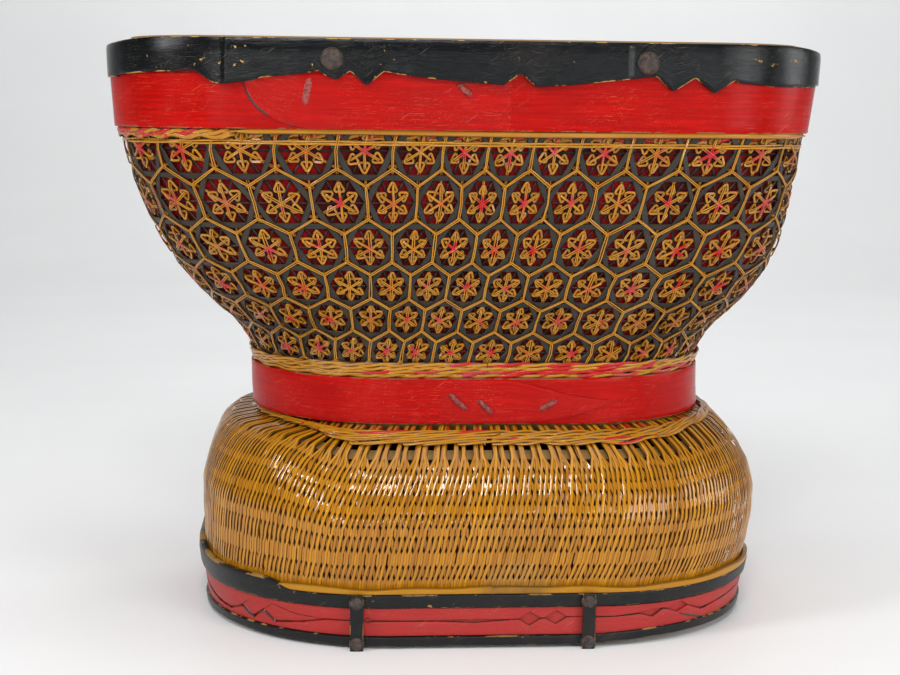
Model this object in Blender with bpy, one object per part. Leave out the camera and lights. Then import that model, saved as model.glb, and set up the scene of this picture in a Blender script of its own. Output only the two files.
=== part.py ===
"""Hourglass basket: a lacquered hoop-and-splint basket with a flower-lattice bowl over a woven belly.

Metres, +Z up. The origin is under the middle of the rim, on the surface that the basket stands on.
The front is towards -Y.
"""
import math

import bmesh
import bpy
from mathutils import Vector

# Overall size
height = 0.291
rim_width = 0.355
rim_depth = 0.216
rim_side_straight = 0.092  # the straight stretch of a short side, between its round corners
waist_width = 0.237
waist_depth = 0.164
waist_side_straight = 0.012
base_width = 0.291
base_depth = 0.2214
base_side_straight = 0.0374
base_foot_width = 0.2836  # the base narrows to this at its foot
base_foot_side_straight = 0.0314
lean = 0.0095  # the rim sits this far to the left of the base

# Heights of the joints between the pieces, above the surface
waist_low = 0.1053
waist_high = 0.128
waist_joint = 0.1165
belly_equator = 0.062

# Walls and hoops
clearance = 0.0003
lattice_thickness = 0.0030
belly_thickness = 0.0026
lining_thickness = 0.0014
lining_low = 0.108
rim_band_height = 0.042  # from the red hoop's lower edge to the top
rim_cap_thickness = 0.0034
rim_cap_height = 0.014
rim_cap_points = 0.008
rim_red_thickness = 0.0027
rim_inner_thickness = 0.0040
rim_inner_height = 0.029
rim_inner_proud = 0.0010
rim_wall_below_cap = 0.0015
rim_strip_height = 0.0050
rim_strip_thickness = 0.0018
waist_hoop_thickness = 0.0030
waist_inner_low = 0.096
waist_inner_thickness = 0.0030
belly_swell = 0.0037  # the belly stands this far outside the wall inside the base hoops

# Twined rings of splint above and below the waist hoop, and the coil behind the open row
twine_thickness = 0.0018
upper_twine_height = 0.0068
lower_twine_low = 0.0980
lower_twine_high = 0.1034
shoulder_coil_low = 0.0935
shoulder_coil_high = 0.0965
shoulder_coil_thickness = 0.0020

# Base hoops, from the bottom up
strap_thickness = 0.0014
strap_width = 0.0062
strap_spread = 0.0562  # half the distance between the two straps
strap_rise = 0.0278
black_hoop_thickness = 0.0034
lower_black_height = 0.0045
red_strip_height = 0.0067
red_strip_thickness = 0.0022
upper_black_height = 0.0065
natural_hoop_height = 0.0037
natural_hoop_thickness = 0.0024
base_inner_thickness = 0.0035
floor_thickness = 0.0030

# Nails and stitches
rim_nail_radius = 0.0053
rim_nail_dome = 0.0028
rim_nail_drop = 0.0085  # from the top of the black hoop to the nail's centre
rim_nail_left = -0.0687
rim_nail_right = 0.0792
base_nail_radius = 0.0038
base_nail_dome = 0.0020
nail_shank_radius = 0.0010
nail_hole_radius = 0.0013
drill_reach = 4  # the cutter's length for each shank length, so that it passes clear through
stitch_thickness = 0.0008
stitch_width = 0.0026

# How finely round stretches are divided
corner_steps = 9
nail_steps = 12
merge_distance = 0.000005
belly_low_steps = 3

# The bowl's flare: share of the height from waist to rim hoop, and share of the way out
bowl_shares = (
    (0.0, 0.0), (0.09, 0.075), (0.18, 0.19), (0.26, 0.365), (0.34, 0.51),
    (0.43, 0.645), (0.54, 0.765), (0.68, 0.862), (0.85, 0.952), (1.0, 1.0),
)

# The belly's shoulder: share of the height from its widest level to the waist hoop, and share of
# the way out from the waist
shoulder_shares = (
    (0.13, 0.965), (0.33, 0.87), (0.53, 0.73), (0.72, 0.565), (0.82, 0.43), (0.92, 0.25), (1.0, 0.0),
)

# Where the middle of each level stands: share of the height, share of the lean
lean_shares = (
    (0.0, 0.92), (0.09, 0.95), (0.17, 1.12), (0.26, 1.16), (0.33, 1.05), (0.40, 0.92), (0.515, 0.86),
    (0.567, 0.76), (0.60, 0.64), (0.653, 0.46), (0.687, 0.30), (0.756, 0.03), (0.825, -0.13), (1.0, -0.08),
)

# The black rim hoop's cut edge along the front and the back: share of half the rim's width from
# its middle, and share of rim_cap_points that the edge hangs down there
cap_edge_shares = (
    (-0.645, 0.76), (-0.614, 0.68), (-0.562, 0.43), (-0.451, 0.16), (-0.414, 0.00), (-0.400, 0.25),
    (-0.370, 0.51), (-0.355, 0.34), (-0.333, 0.00), (-0.289, 0.76), (-0.244, 0.00), (-0.200, 0.16),
    (-0.149, 0.25), (-0.046, 0.51), (0.073, 0.68), (0.117, 0.00), (0.154, 0.76), (0.249, 0.59),
    (0.323, 0.59), (0.478, 0.09), (0.522, 0.93), (0.581, 0.16), (0.633, 1.00),
)
cap_corner_share = 0.30  # the same edge round the corners and the sides

# Stitches through the lapped hoop ends: share of half the hoop's width from the middle, share of
# the hoop's height above its lower edge, length and turn in degrees
rim_stitches = (
    (-0.448, 0.44, 0.0140, 97.0),
    (-0.035, 0.49, 0.0090, -43.0),
)
waist_stitches = (
    (-0.125, 0.50, 0.0117, -43.0),
    (-0.010, 0.39, 0.0093, -45.0),
    (0.255, 0.42, 0.0103, 28.0),
)

# A nail head's outline: share of its radius and share of its dome, from the middle out
nail_head_shares = ((0.0, 1.0), (0.55, 0.84), (0.88, 0.45), (1.0, 0.0))

# Colour, roughness and metallic of each material
finishes = {
    "black lacquer": ((0.020, 0.026, 0.030), 0.35, 0.0),
    "red lacquer": ((0.520, 0.014, 0.008), 0.32, 0.0),
    "red lining": ((0.190, 0.004, 0.006), 0.55, 0.0),
    "golden splint": ((0.560, 0.260, 0.040), 0.38, 0.0),
    "natural bamboo": ((0.480, 0.280, 0.080), 0.50, 0.0),
    "iron": ((0.090, 0.060, 0.045), 0.55, 0.8),
}
sharp_angle = math.radians(35)


def material(name):
    colour, roughness, metallic = finishes[name]
    made = bpy.data.materials.new(name)
    made.use_nodes = True
    shader = made.node_tree.nodes["Principled BSDF"]
    shader.inputs["Base Color"].default_value = (*colour, 1.0)
    shader.inputs["Roughness"].default_value = roughness
    shader.inputs["Metallic"].default_value = metallic
    made.diffuse_color = (*colour, 1.0)
    return made


def centre_at(z):
    """How far the basket's middle stands to the right of the rim's middle at a height."""
    for (low, low_share), (high, high_share) in zip(lean_shares, lean_shares[1:]):
        if z <= high * height:
            return lean * mix(low_share, high_share, (z / height - low) / (high - low))
    return lean * lean_shares[-1][1]


def mix(low, high, share):
    return low + (high - low) * share


def level_of(width, depth, side_straight, z):
    return Station(width / 2, depth / 2, (depth - side_straight) / 2, z)


class Station:
    """One level of a wall or hoop: a rounded rectangle at a height."""

    def __init__(self, half_width, half_depth, corner, z):
        self.half_width = half_width
        self.half_depth = half_depth
        self.corner = corner
        self.z = z

    def grown(self, out, up=0.0):
        return Station(self.half_width + out, self.half_depth + out, self.corner + out, self.z + up)

    def at(self, z):
        return Station(self.half_width, self.half_depth, self.corner, z)

    def towards(self, other, share, z):
        return Station(
            mix(self.half_width, other.half_width, share),
            mix(self.half_depth, other.half_depth, share),
            mix(self.corner, other.corner, share),
            z,
        )

    def front_depth(self, x):
        """Half depth at a place x, measured in the world."""
        beyond = abs(x - centre_at(self.z)) - (self.half_width - self.corner)
        if beyond <= 0:
            return self.half_depth
        return self.half_depth - self.corner + math.sqrt(self.corner ** 2 - beyond ** 2)

    def outline(self, marks=()):
        """Points round the level, with extra ones at the marks along the front and the back."""
        flat_x = self.half_width - self.corner
        flat_y = self.half_depth - self.corner
        middle = centre_at(self.z)
        points = []
        for quarter, (side_x, side_y) in enumerate(((1, 1), (-1, 1), (-1, -1), (1, -1))):
            for step in range(corner_steps + 1):
                angle = (quarter + step / corner_steps) * math.pi / 2
                x = side_x * flat_x + self.corner * math.cos(angle)
                y = side_y * flat_y + self.corner * math.sin(angle)
                points.append((middle + x, y, self.z))
            if quarter == 0:
                points += [(middle + mark, self.half_depth, self.z) for mark in sorted(marks, reverse=True)]
            if quarter == 2:
                points += [(middle + mark, -self.half_depth, self.z) for mark in sorted(marks)]
        return points


def between(stations, z):
    """The station at a height, read from a wall's stations, which rise."""
    for low, high in zip(stations, stations[1:]):
        if low.z <= z <= high.z:
            return low.towards(high, (z - low.z) / (high.z - low.z), z)
    nearest = stations[0] if z < stations[0].z else stations[-1]
    return nearest.at(z)


def moved_out(stations, distance):
    """A wall's stations, each moved square to the wall. A negative distance moves them in."""
    moved = []
    for index, station in enumerate(stations):
        low = stations[max(index - 1, 0)]
        high = stations[min(index + 1, len(stations) - 1)]
        run = Vector((high.half_width - low.half_width, high.z - low.z)).normalized()
        moved.append(station.grown(distance * run.y, -distance * run.x))
    return moved


def part_of(stations, z_low, z_high):
    """The stretch of a wall between two heights, with a station at each end."""
    inside = [station for station in stations if z_low < station.z < z_high]
    return [between(stations, z_low)] + inside + [between(stations, z_high)]


def add_object(name, mesh_maker, look):
    mesh = bpy.data.meshes.new(name)
    shape = bmesh.new()
    mesh_maker(shape)
    bmesh.ops.recalc_face_normals(shape, faces=shape.faces)
    shape.to_mesh(mesh)
    shape.free()
    mesh.materials.append(look)
    mesh.shade_smooth()
    mesh.set_sharp_from_angle(angle=sharp_angle)
    made = bpy.data.objects.new(name, mesh)
    bpy.context.scene.collection.objects.link(made)
    return made


def loft(shape, loops):
    """Closed body through rings of points, the last joined back to the first."""
    rings = [[shape.verts.new(point) for point in loop] for loop in loops]
    for ring, following in zip(rings, rings[1:] + rings[:1]):
        count = len(ring)
        for index in range(count):
            after = (index + 1) % count
            shape.faces.new((ring[index], ring[after], following[after], following[index]))


def wall(name, outer, inner, look):
    """A tube-like wall between two sets of stations."""
    stations = outer + inner[::-1]
    return add_object(name, lambda shape: loft(shape, [station.outline() for station in stations]), look)


def hoop(name, inner_face, thickness, z_low, z_high, look):
    """An upright hoop: inner_face gives the shape of its inner face."""
    inner = [inner_face.at(z_low), inner_face.at(z_high)]
    outer = [station.grown(thickness) for station in inner]
    return wall(name, outer, inner, look)


def foot_hoop(name, out, thickness, z_low, z_high, look):
    """A hoop that follows the foot of the belly, its inner face this far out from the belly."""
    inner = [between(belly, z).grown(out) for z in (z_low, z_high)]
    outer = [station.grown(thickness) for station in inner]
    return wall(name, outer, inner, look)


def bowl_stations():
    """The outer face of the flower lattice, from the waist joint to the rim."""
    stations = [waist_wall.at(waist_joint + clearance / 2)]
    for height_share, flare_share in bowl_shares:
        z = mix(waist_high, rim_hoop_low, height_share)
        stations.append(waist_wall.towards(rim_wall, flare_share, z))
    stations.append(rim_wall.at(height - rim_inner_proud - rim_wall_below_cap))
    return stations


def belly_stations():
    """The outer face of the belly, from the base up to the waist joint."""
    stations = [foot_wall, base_wall.at(upper_black_top)]
    for step in range(1, belly_low_steps + 1):
        share = step / belly_low_steps
        bulge_share = 1.0 - (1.0 - share) ** 2
        z = mix(upper_black_top, belly_equator, share)
        stations.append(base_wall.grown(belly_swell * bulge_share).at(z))
    for height_share, width_share in shoulder_shares:
        z = mix(belly_equator, waist_low - clearance, height_share)
        level = waist_wall.towards(base_wall, width_share, z)
        stations.append(level.grown(belly_swell * width_share))
    stations.append(waist_wall.at(waist_joint - clearance / 2))
    return stations


def rim_cap(look):
    """The black outer hoop, with its lower edge cut to points along the front and the back."""
    inner = rim_wall.grown(rim_red_thickness + 2 * clearance).at(cap_top)
    outer = inner.grown(rim_cap_thickness)
    half_width = rim_width / 2
    edge = [(share * half_width, hang) for share, hang in cap_edge_shares]
    marks = [x for x, hang in edge]

    def hang_at(point):
        x = point[0] - centre_at(cap_top)
        y = point[1]
        if x < edge[0][0] or x > edge[-1][0] or abs(y) < inner.half_depth - clearance:
            return cap_corner_share
        for (x_low, hang_low), (x_high, hang_high) in zip(edge, edge[1:]):
            if x_low <= x <= x_high:
                return mix(hang_low, hang_high, (x - x_low) / (x_high - x_low))

    def lowered(points):
        return [(x, y, z - rim_cap_height - rim_cap_points * hang_at((x, y, z))) for x, y, z in points]

    outer_top = outer.outline(marks)
    inner_top = inner.outline(marks)
    loops = [outer_top, inner_top, lowered(inner_top), lowered(outer_top)]
    return add_object("rim_black_hoop", lambda shape: loft(shape, loops), look)


def strap(name, x, look):
    """A band nailed up the front hoops, run under the floor and nailed up the back hoops."""
    edges = (x - strap_width / 2, x + strap_width / 2)
    face = base_hoop_face.at(0)

    def profile(edge):
        inner = face.front_depth(edge) + clearance
        outer = inner + strap_thickness
        corners = [(outer, strap_rise), (outer, 0), (-outer, 0), (-outer, strap_rise)]
        corners += [(-inner, strap_rise), (-inner, strap_thickness)]
        corners += [(inner, strap_thickness), (inner, strap_rise)]
        return [(edge, y, z) for y, z in corners]

    def make(shape):
        left, right = ([shape.verts.new(point) for point in profile(edge)] for edge in edges)
        count = len(left)
        for index in range(count):
            after = (index + 1) % count
            shape.faces.new((left[index], left[after], right[after], right[index]))
        for side in (left, right):
            outer_front, low_front, low_back, outer_back, inner_back, up_back, up_front, inner_front = side
            shape.faces.new((outer_front, low_front, up_front, inner_front))
            shape.faces.new((low_front, low_back, up_back, up_front))
            shape.faces.new((low_back, outer_back, inner_back, up_back))

    return add_object(name, make, look)


def nail(name, place, outward, radius, dome, shank, look):
    """A domed nail. Its axis points out of the basket, and its head sits just off the surface."""
    profile = [(radius_share * radius, dome_share * dome) for radius_share, dome_share in nail_head_shares]
    profile += [(nail_shank_radius, 0), (nail_shank_radius, -shank), (0, -shank)]

    def make(shape):
        verts = [shape.verts.new((across, 0, along)) for across, along in profile]
        edges = [shape.edges.new(pair) for pair in zip(verts, verts[1:])]
        bmesh.ops.spin(
            shape, geom=verts + edges, cent=(0, 0, 0), axis=(0, 0, 1), dvec=(0, 0, 0),
            angle=math.tau, steps=nail_steps, use_merge=True,
        )
        bmesh.ops.remove_doubles(shape, verts=shape.verts, dist=merge_distance)

    made = add_object(name, make, look)
    made.rotation_euler = Vector(outward).to_track_quat("Z", "Y").to_euler()
    made.location = Vector(place)
    return made


def stitch(name, face, z, middle_share, length, turn, look):
    """A flat lens of splint lying on a hoop's front, where the lapped ends are tied."""
    half = length / 2
    wide = stitch_width / 2
    outline = (
        (-half, 0), (-half / 2, -wide), (half / 2, -wide),
        (half, 0), (half / 2, wide), (-half / 2, wide),
    )

    def make(shape):
        back = [shape.verts.new((x, -clearance, z_)) for x, z_ in outline]
        front = [shape.verts.new((x, -clearance - stitch_thickness, z_)) for x, z_ in outline]
        shape.faces.new(back)
        shape.faces.new(front)
        count = len(outline)
        for index in range(count):
            after = (index + 1) % count
            shape.faces.new((back[index], back[after], front[after], front[index]))

    made = add_object(name, make, look)
    made.location = (centre_at(z) + middle_share * face.half_width, -face.half_depth, z)
    made.rotation_euler = (0, -math.radians(turn), 0)
    return made


def drill(name, places, depth, targets):
    """Holes for the nails' shanks, cut through the hoops and straps along Y."""

    def make(shape):
        for place in places:
            made = bmesh.ops.create_cone(
                shape, cap_ends=True, segments=nail_steps, radius1=nail_hole_radius,
                radius2=nail_hole_radius, depth=depth,
            )
            bmesh.ops.rotate(
                shape, verts=made["verts"], cent=(0, 0, 0),
                matrix=Vector((0, 1, 0)).to_track_quat("Z", "Y").to_matrix(),
            )
            bmesh.ops.translate(shape, verts=made["verts"], vec=place)

    cutter = add_object(name, make, black)
    cutter.hide_render = True
    cutter.display_type = "WIRE"
    for target in targets:
        cut = target.modifiers.new("nail holes", "BOOLEAN")
        cut.operation = "DIFFERENCE"
        cut.solver = "EXACT"
        cut.object = cutter
    return cutter


for old in list(bpy.data.objects):
    bpy.data.objects.remove(old, do_unlink=True)

black, red, lining_look, gold, natural, iron = (material(name) for name in finishes)

# Faces that the pieces are set against
cap_top = height - rim_inner_proud
rim_hoop_low = height - rim_band_height
rim_shell = rim_cap_thickness + rim_red_thickness + 2 * clearance
rim_wall = level_of(rim_width, rim_depth, rim_side_straight, cap_top).grown(-rim_shell)
waist_hoop_face = level_of(waist_width, waist_depth, waist_side_straight, waist_low)
waist_wall = waist_hoop_face.grown(-waist_hoop_thickness - clearance)
hoop_bottom = strap_thickness + clearance
base_hoop_face = level_of(base_width, base_depth, base_side_straight, hoop_bottom)
base_wall = base_hoop_face.grown(-black_hoop_thickness - clearance)
foot_face = level_of(base_foot_width, base_depth, base_foot_side_straight, hoop_bottom)
foot_wall = foot_face.grown(-black_hoop_thickness - clearance)
lower_black_top = hoop_bottom + lower_black_height
lower_red_low = lower_black_top + clearance
lower_red_top = lower_red_low + red_strip_height
upper_red_low = lower_red_top + clearance
upper_red_top = upper_red_low + red_strip_height
upper_black_low = upper_red_top + clearance
upper_black_top = upper_black_low + upper_black_height
natural_low = upper_black_top + clearance
natural_top = natural_low + natural_hoop_height

# The two woven walls and the lining
bowl = bowl_stations()
belly = belly_stations()
lattice_inner = moved_out(bowl, -lattice_thickness)
lattice_inner[0] = lattice_inner[0].at(bowl[0].z)
lattice_inner[-1] = lattice_inner[-1].at(bowl[-1].z)
wall("flower_lattice", bowl, lattice_inner, gold)

belly_inner = moved_out(belly, -belly_thickness)
belly_inner[0] = belly_inner[0].at(belly[0].z)
belly_inner[-1] = belly_inner[-1].at(belly[-1].z)
wall("belly_weave", belly, belly_inner, gold)

lining_outer = moved_out(bowl, -lattice_thickness - clearance)
lining_inner = moved_out(bowl, -lattice_thickness - clearance - lining_thickness)
for face in (lining_outer, lining_inner):
    face[0] = face[0].at(lining_low)
    face[-1] = face[-1].at(bowl[-1].z)
wall("red_lining", lining_outer, lining_inner, lining_look)

# The rim
rim_black = rim_cap(black)
red_face = rim_wall.grown(clearance)
rim_red = hoop("rim_red_hoop", red_face, rim_red_thickness, rim_hoop_low, bowl[-1].z, red)
rim_inside = rim_wall.grown(-lattice_thickness - lining_thickness - 2 * clearance - rim_inner_thickness)
hoop("rim_inner_hoop", rim_inside, rim_inner_thickness, height - rim_inner_height, height, natural)
strip_top = rim_hoop_low - clearance
strip_wall = part_of(bowl, strip_top - rim_strip_height, strip_top)
strip_inner = moved_out(strip_wall, clearance)
strip_outer = moved_out(strip_wall, clearance + rim_strip_thickness)
for face in (strip_inner, strip_outer):
    face[-1] = face[-1].at(strip_top)
wall("rim_strip", strip_outer, strip_inner, natural)

# The waist
waist_face = waist_wall.grown(clearance)
hoop("waist_red_hoop", waist_face, waist_hoop_thickness, waist_low, waist_high, red)
waist_inside = waist_wall.grown(
    -lattice_thickness - lining_thickness - 2 * clearance - waist_inner_thickness)
hoop("waist_inner_hoop", waist_inside, waist_inner_thickness, waist_inner_low, waist_high, natural)
twine_low = waist_high + clearance
upper_twine = part_of(bowl, twine_low, twine_low + upper_twine_height)
upper_inner = moved_out(upper_twine, clearance)
upper_outer = moved_out(upper_twine, clearance + twine_thickness)
for face in (upper_inner, upper_outer):
    face[0] = face[0].at(twine_low)
wall("upper_twined_rings", upper_outer, upper_inner, gold)
lower_twine = part_of(belly, lower_twine_low, lower_twine_high)
wall(
    "lower_twined_rings",
    moved_out(lower_twine, clearance + twine_thickness),
    moved_out(lower_twine, clearance),
    gold,
)
coil = part_of(belly_inner, shoulder_coil_low, shoulder_coil_high)
coil_outer = moved_out(coil, -clearance)
coil_inner = moved_out(coil, -clearance - shoulder_coil_thickness)
wall("shoulder_coil", coil_outer, coil_inner, natural)

# The base
lower_black = foot_hoop(
    "base_lower_black_hoop", clearance, black_hoop_thickness, hoop_bottom, lower_black_top, black,
)
foot_hoop("base_lower_red_strip", clearance, red_strip_thickness, lower_red_low, lower_red_top, red)
foot_hoop("base_upper_red_strip", clearance, red_strip_thickness, upper_red_low, upper_red_top, red)
upper_black = foot_hoop(
    "base_upper_black_hoop", clearance, black_hoop_thickness, upper_black_low, upper_black_top, black,
)
natural_face = between(belly, natural_top).grown(clearance)
hoop("base_natural_hoop", natural_face, natural_hoop_thickness, natural_low, natural_top, natural)
floor_top = hoop_bottom + floor_thickness
foot_hoop(
    "base_inner_hoop", -belly_thickness - clearance - base_inner_thickness, base_inner_thickness,
    floor_top + clearance, upper_black_top, natural,
)


def floor_mesh(shape):
    levels = (between(belly, z).grown(-belly_thickness - clearance) for z in (hoop_bottom, floor_top))
    outlines = (level.outline() for level in levels)
    rings = [[shape.verts.new(point) for point in outline] for outline in outlines]
    count = len(rings[0])
    for index in range(count):
        after = (index + 1) % count
        shape.faces.new((rings[0][index], rings[0][after], rings[1][after], rings[1][index]))
    for ring in rings:
        shape.faces.new(ring)


add_object("woven_floor", floor_mesh, gold)
straps = [
    strap("strap_left", -strap_spread, black),
    strap("strap_right", strap_spread, black),
]

# Nails through the rim hoops, front and back
rim_nail_z = cap_top - rim_nail_drop
rim_front = rim_depth / 2
rim_shank = rim_cap_thickness + clearance + rim_red_thickness
rim_places = []
for side_name, side in (("front", -1), ("back", 1)):
    for end_name, x in (("left", rim_nail_left), ("right", rim_nail_right)):
        face_y = side * rim_front
        place = (x, face_y + side * clearance, rim_nail_z)
        nail(
            f"rim_nail_{side_name}_{end_name}", place, (0, side, 0),
            rim_nail_radius, rim_nail_dome, rim_shank, iron,
        )
        rim_places.append((x, face_y, rim_nail_z))
drill("rim_nail_cutter", rim_places, drill_reach * rim_shank, (rim_black, rim_red))

# Nails through the straps into the base hoops
base_shank = strap_thickness + black_hoop_thickness
base_nail_heights = {
    "low": (hoop_bottom + lower_black_top) / 2,
    "high": (upper_black_low + upper_black_top) / 2,
}
base_places = []
for side_name, side in (("front", -1), ("back", 1)):
    for end_name, x in (("left", -strap_spread), ("right", strap_spread)):
        edges = (x - strap_width / 2, x + strap_width / 2)
        face_y = max(base_hoop_face.front_depth(edge) for edge in edges) + clearance + strap_thickness
        for level, z in base_nail_heights.items():
            nail(
                f"strap_nail_{side_name}_{end_name}_{level}", (x, side * (face_y + clearance), z),
                (0, side, 0), base_nail_radius, base_nail_dome, base_shank, iron,
            )
            base_places.append((x, side * face_y, z))
drill("base_nail_cutter", base_places, drill_reach * base_shank, (upper_black, lower_black, *straps))

# Stitches through the lapped ends of the two red hoops
rim_red_face = red_face.grown(rim_red_thickness)
for number, (middle_share, height_share, length, turn) in enumerate(rim_stitches, 1):
    z = mix(rim_hoop_low, cap_top - rim_cap_height, height_share)
    stitch(f"rim_stitch_{number}", rim_red_face, z, middle_share, length, turn, red)
waist_red_face = waist_face.grown(waist_hoop_thickness)
for number, (middle_share, height_share, length, turn) in enumerate(waist_stitches, 1):
    z = mix(waist_low, waist_high, height_share)
    stitch(f"waist_stitch_{number}", waist_red_face, z, middle_share, length, turn, red)
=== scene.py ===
"""The looks of an hourglass basket: lacquered hoops, a bowl of flower lattice and a close woven belly.

Metres, +Z up, in the frame of the solids. The front is towards -Y. "Around" is a distance along a level
of the basket, from the middle of the front towards +X. "Run" is a distance up a woven wall from its foot.
"""
import math

import bpy
import numpy as np
from mathutils import Matrix, Vector


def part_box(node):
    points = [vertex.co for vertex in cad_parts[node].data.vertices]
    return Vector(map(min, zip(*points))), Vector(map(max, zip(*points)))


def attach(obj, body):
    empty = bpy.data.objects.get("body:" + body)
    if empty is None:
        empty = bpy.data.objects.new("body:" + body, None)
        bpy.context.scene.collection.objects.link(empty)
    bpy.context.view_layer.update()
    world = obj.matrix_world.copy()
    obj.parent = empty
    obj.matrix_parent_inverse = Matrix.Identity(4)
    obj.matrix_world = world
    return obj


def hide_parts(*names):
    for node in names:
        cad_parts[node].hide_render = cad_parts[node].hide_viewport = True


bl_info = {
    "name": "Hourglass basket",
    "version": (1, 0, 0),
    "blender": (4, 5, 0),
    "location": "3D View > Sidebar > Basket",
    "description": "Builds the woven splints, lacquered hoops, nails and stage of an hourglass basket",
    "category": "Object",
}

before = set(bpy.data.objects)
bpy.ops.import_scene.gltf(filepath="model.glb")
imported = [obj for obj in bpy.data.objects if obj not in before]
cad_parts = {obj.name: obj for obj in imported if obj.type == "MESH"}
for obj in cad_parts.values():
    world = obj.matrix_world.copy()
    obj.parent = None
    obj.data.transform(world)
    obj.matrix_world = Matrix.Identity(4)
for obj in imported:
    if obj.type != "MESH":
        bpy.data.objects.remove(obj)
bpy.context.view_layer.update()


# Sizes shared with the solids
gap = 0.0003
hoop_thickness = {
    "rim_black_hoop": 0.0034,
    "rim_red_hoop": 0.0027,
    "rim_inner_hoop": 0.0040,
    "waist_red_hoop": 0.0030,
    "waist_inner_hoop": 0.0030,
    "base_natural_hoop": 0.0024,
    "base_upper_black_hoop": 0.0034,
    "base_lower_black_hoop": 0.0034,
    "base_inner_hoop": 0.0035,
}
lattice_thickness = 0.0030
lining_thickness = 0.0014
belly_thickness = 0.0026
belly_swell = 0.0037
lean = 0.0095
strap_spread = 0.0562
strap_width = 0.0062
strap_thickness = 0.0014

# Width, depth and the straight stretch of a short side
rim_size = (0.355, 0.216, 0.092)
waist_size = (0.237, 0.164, 0.012)
base_size = (0.291, 0.2214, 0.0374)
foot_size = (0.2836, 0.2214, 0.0314)

# Heights read from the frame
rim_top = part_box("rim_black_hoop")[1].z
rim_hoop_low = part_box("rim_red_hoop")[0].z
waist_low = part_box("waist_red_hoop")[0].z
waist_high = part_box("waist_red_hoop")[1].z
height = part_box("rim_inner_hoop")[1].z
natural_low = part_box("base_natural_hoop")[0].z
natural_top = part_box("base_natural_hoop")[1].z
base_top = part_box("base_upper_black_hoop")[1].z
floor_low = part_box("woven_floor")[0].z
belly_equator = 0.062

# The bowl's flare: share of the height from waist to rim hoop, and share of the way out
bowl_shares = (
    (0.0, 0.0), (0.09, 0.075), (0.18, 0.19), (0.26, 0.365), (0.34, 0.51),
    (0.43, 0.645), (0.54, 0.765), (0.68, 0.862), (0.85, 0.952), (1.0, 1.0),
)

# The belly's shoulder: share of the height from its widest level to the waist hoop, and share of
# the way out from the waist
shoulder_shares = (
    (0.0, 1.0), (0.13, 0.965), (0.33, 0.87), (0.53, 0.73), (0.72, 0.565), (0.82, 0.43), (0.92, 0.25),
    (1.0, 0.0),
)

# Where the middle of each level stands: share of the height, share of the lean
lean_shares = (
    (0.0, 0.92), (0.09, 0.95), (0.17, 1.12), (0.26, 1.16), (0.33, 1.05), (0.40, 0.92), (0.515, 0.86),
    (0.567, 0.76), (0.60, 0.64), (0.653, 0.46), (0.687, 0.30), (0.756, 0.03), (0.825, -0.13), (1.0, -0.08),
)

# Heights of the flower rows, from the hidden row behind the rim down to the one behind the waist
flower_row_heights = (0.2636, 0.2390, 0.2146, 0.1926, 0.1734, 0.1568, 0.1405, 0.1255)
first_flower_row = -1


def smooth_step(share):
    share = np.clip(share, 0.0, 1.0)
    return share * share * (3.0 - 2.0 * share)


def from_front(place, whole):
    """A place on a closed round, counted both ways from the middle of the front."""
    return np.mod(place + whole / 2, whole) - whole / 2


def lean_at(z):
    heights, shares = np.array(lean_shares).T
    return lean * np.interp(z / height, heights, shares)


def unit(vectors):
    return vectors / np.maximum(np.linalg.norm(vectors, axis=-1, keepdims=True), 1e-12)


def girth_of(half_width, half_depth, corner):
    return 4 * (half_width + half_depth - 2 * corner) + math.tau * corner


def plan_point(around, half_width, half_depth, corner):
    """Place and outward direction on a rounded rectangle, whose sizes may change from point to point."""
    flat_x = half_width - corner
    flat_y = half_depth - corner
    bend = corner * math.pi / 2
    along = np.mod(around, girth_of(half_width, half_depth, corner))
    starts = [flat_x]
    for length in (bend, 2 * flat_y, bend, 2 * flat_x, bend, 2 * flat_y, bend):
        starts.append(starts[-1] + length)
    turned = sum(np.clip(along - start, 0, bend) for start in starts[0:7:2]) / corner
    angle = turned - math.pi / 2
    centre_x = (
        np.clip(along, 0, flat_x)
        - np.clip(along - starts[3], 0, 2 * flat_x)
        + np.clip(along - starts[7], 0, flat_x)
    )
    centre_y = (
        np.clip(along - starts[1], 0, 2 * flat_y) - np.clip(along - starts[5], 0, 2 * flat_y) - flat_y
    )
    out_x = np.cos(angle)
    out_y = np.sin(angle)
    return centre_x + corner * out_x, centre_y + corner * out_y, out_x, out_y


class Hoop:
    """An upright face round the basket. size_at gives its half width, half depth and corner at a height."""

    def __init__(self, size_at, middle):
        self.size_at = size_at
        self.middle = middle
        self.girth = girth_of(*size_at(middle))

    def grown(self, out):
        return Hoop(lambda z: [length + out for length in self.size_at(z)], self.middle)

    def place(self, around, z, out=0.0):
        size = self.size_at(z)
        x, y, out_x, out_y = plan_point(around * girth_of(*size) / self.girth, *size)
        z = z + 0 * x
        normals = np.stack([out_x, out_y, 0 * x], -1)
        points = np.stack([x + lean_at(z), y, z], -1)
        return points + normals * np.asarray(out + 0 * x)[..., None], normals

    def around_at(self, x, z):
        """Distance around to a place on the front whose X is given in the world."""
        half_width, half_depth, corner = self.size_at(z)
        x = np.asarray(x, float) - lean_at(z)
        flat = half_width - corner
        beyond = np.clip(np.abs(x) - flat, 0, corner)
        around = np.sign(x) * (np.minimum(np.abs(x), flat) + corner * np.arcsin(beyond / corner))
        return around * self.girth / girth_of(half_width, half_depth, corner)


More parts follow.
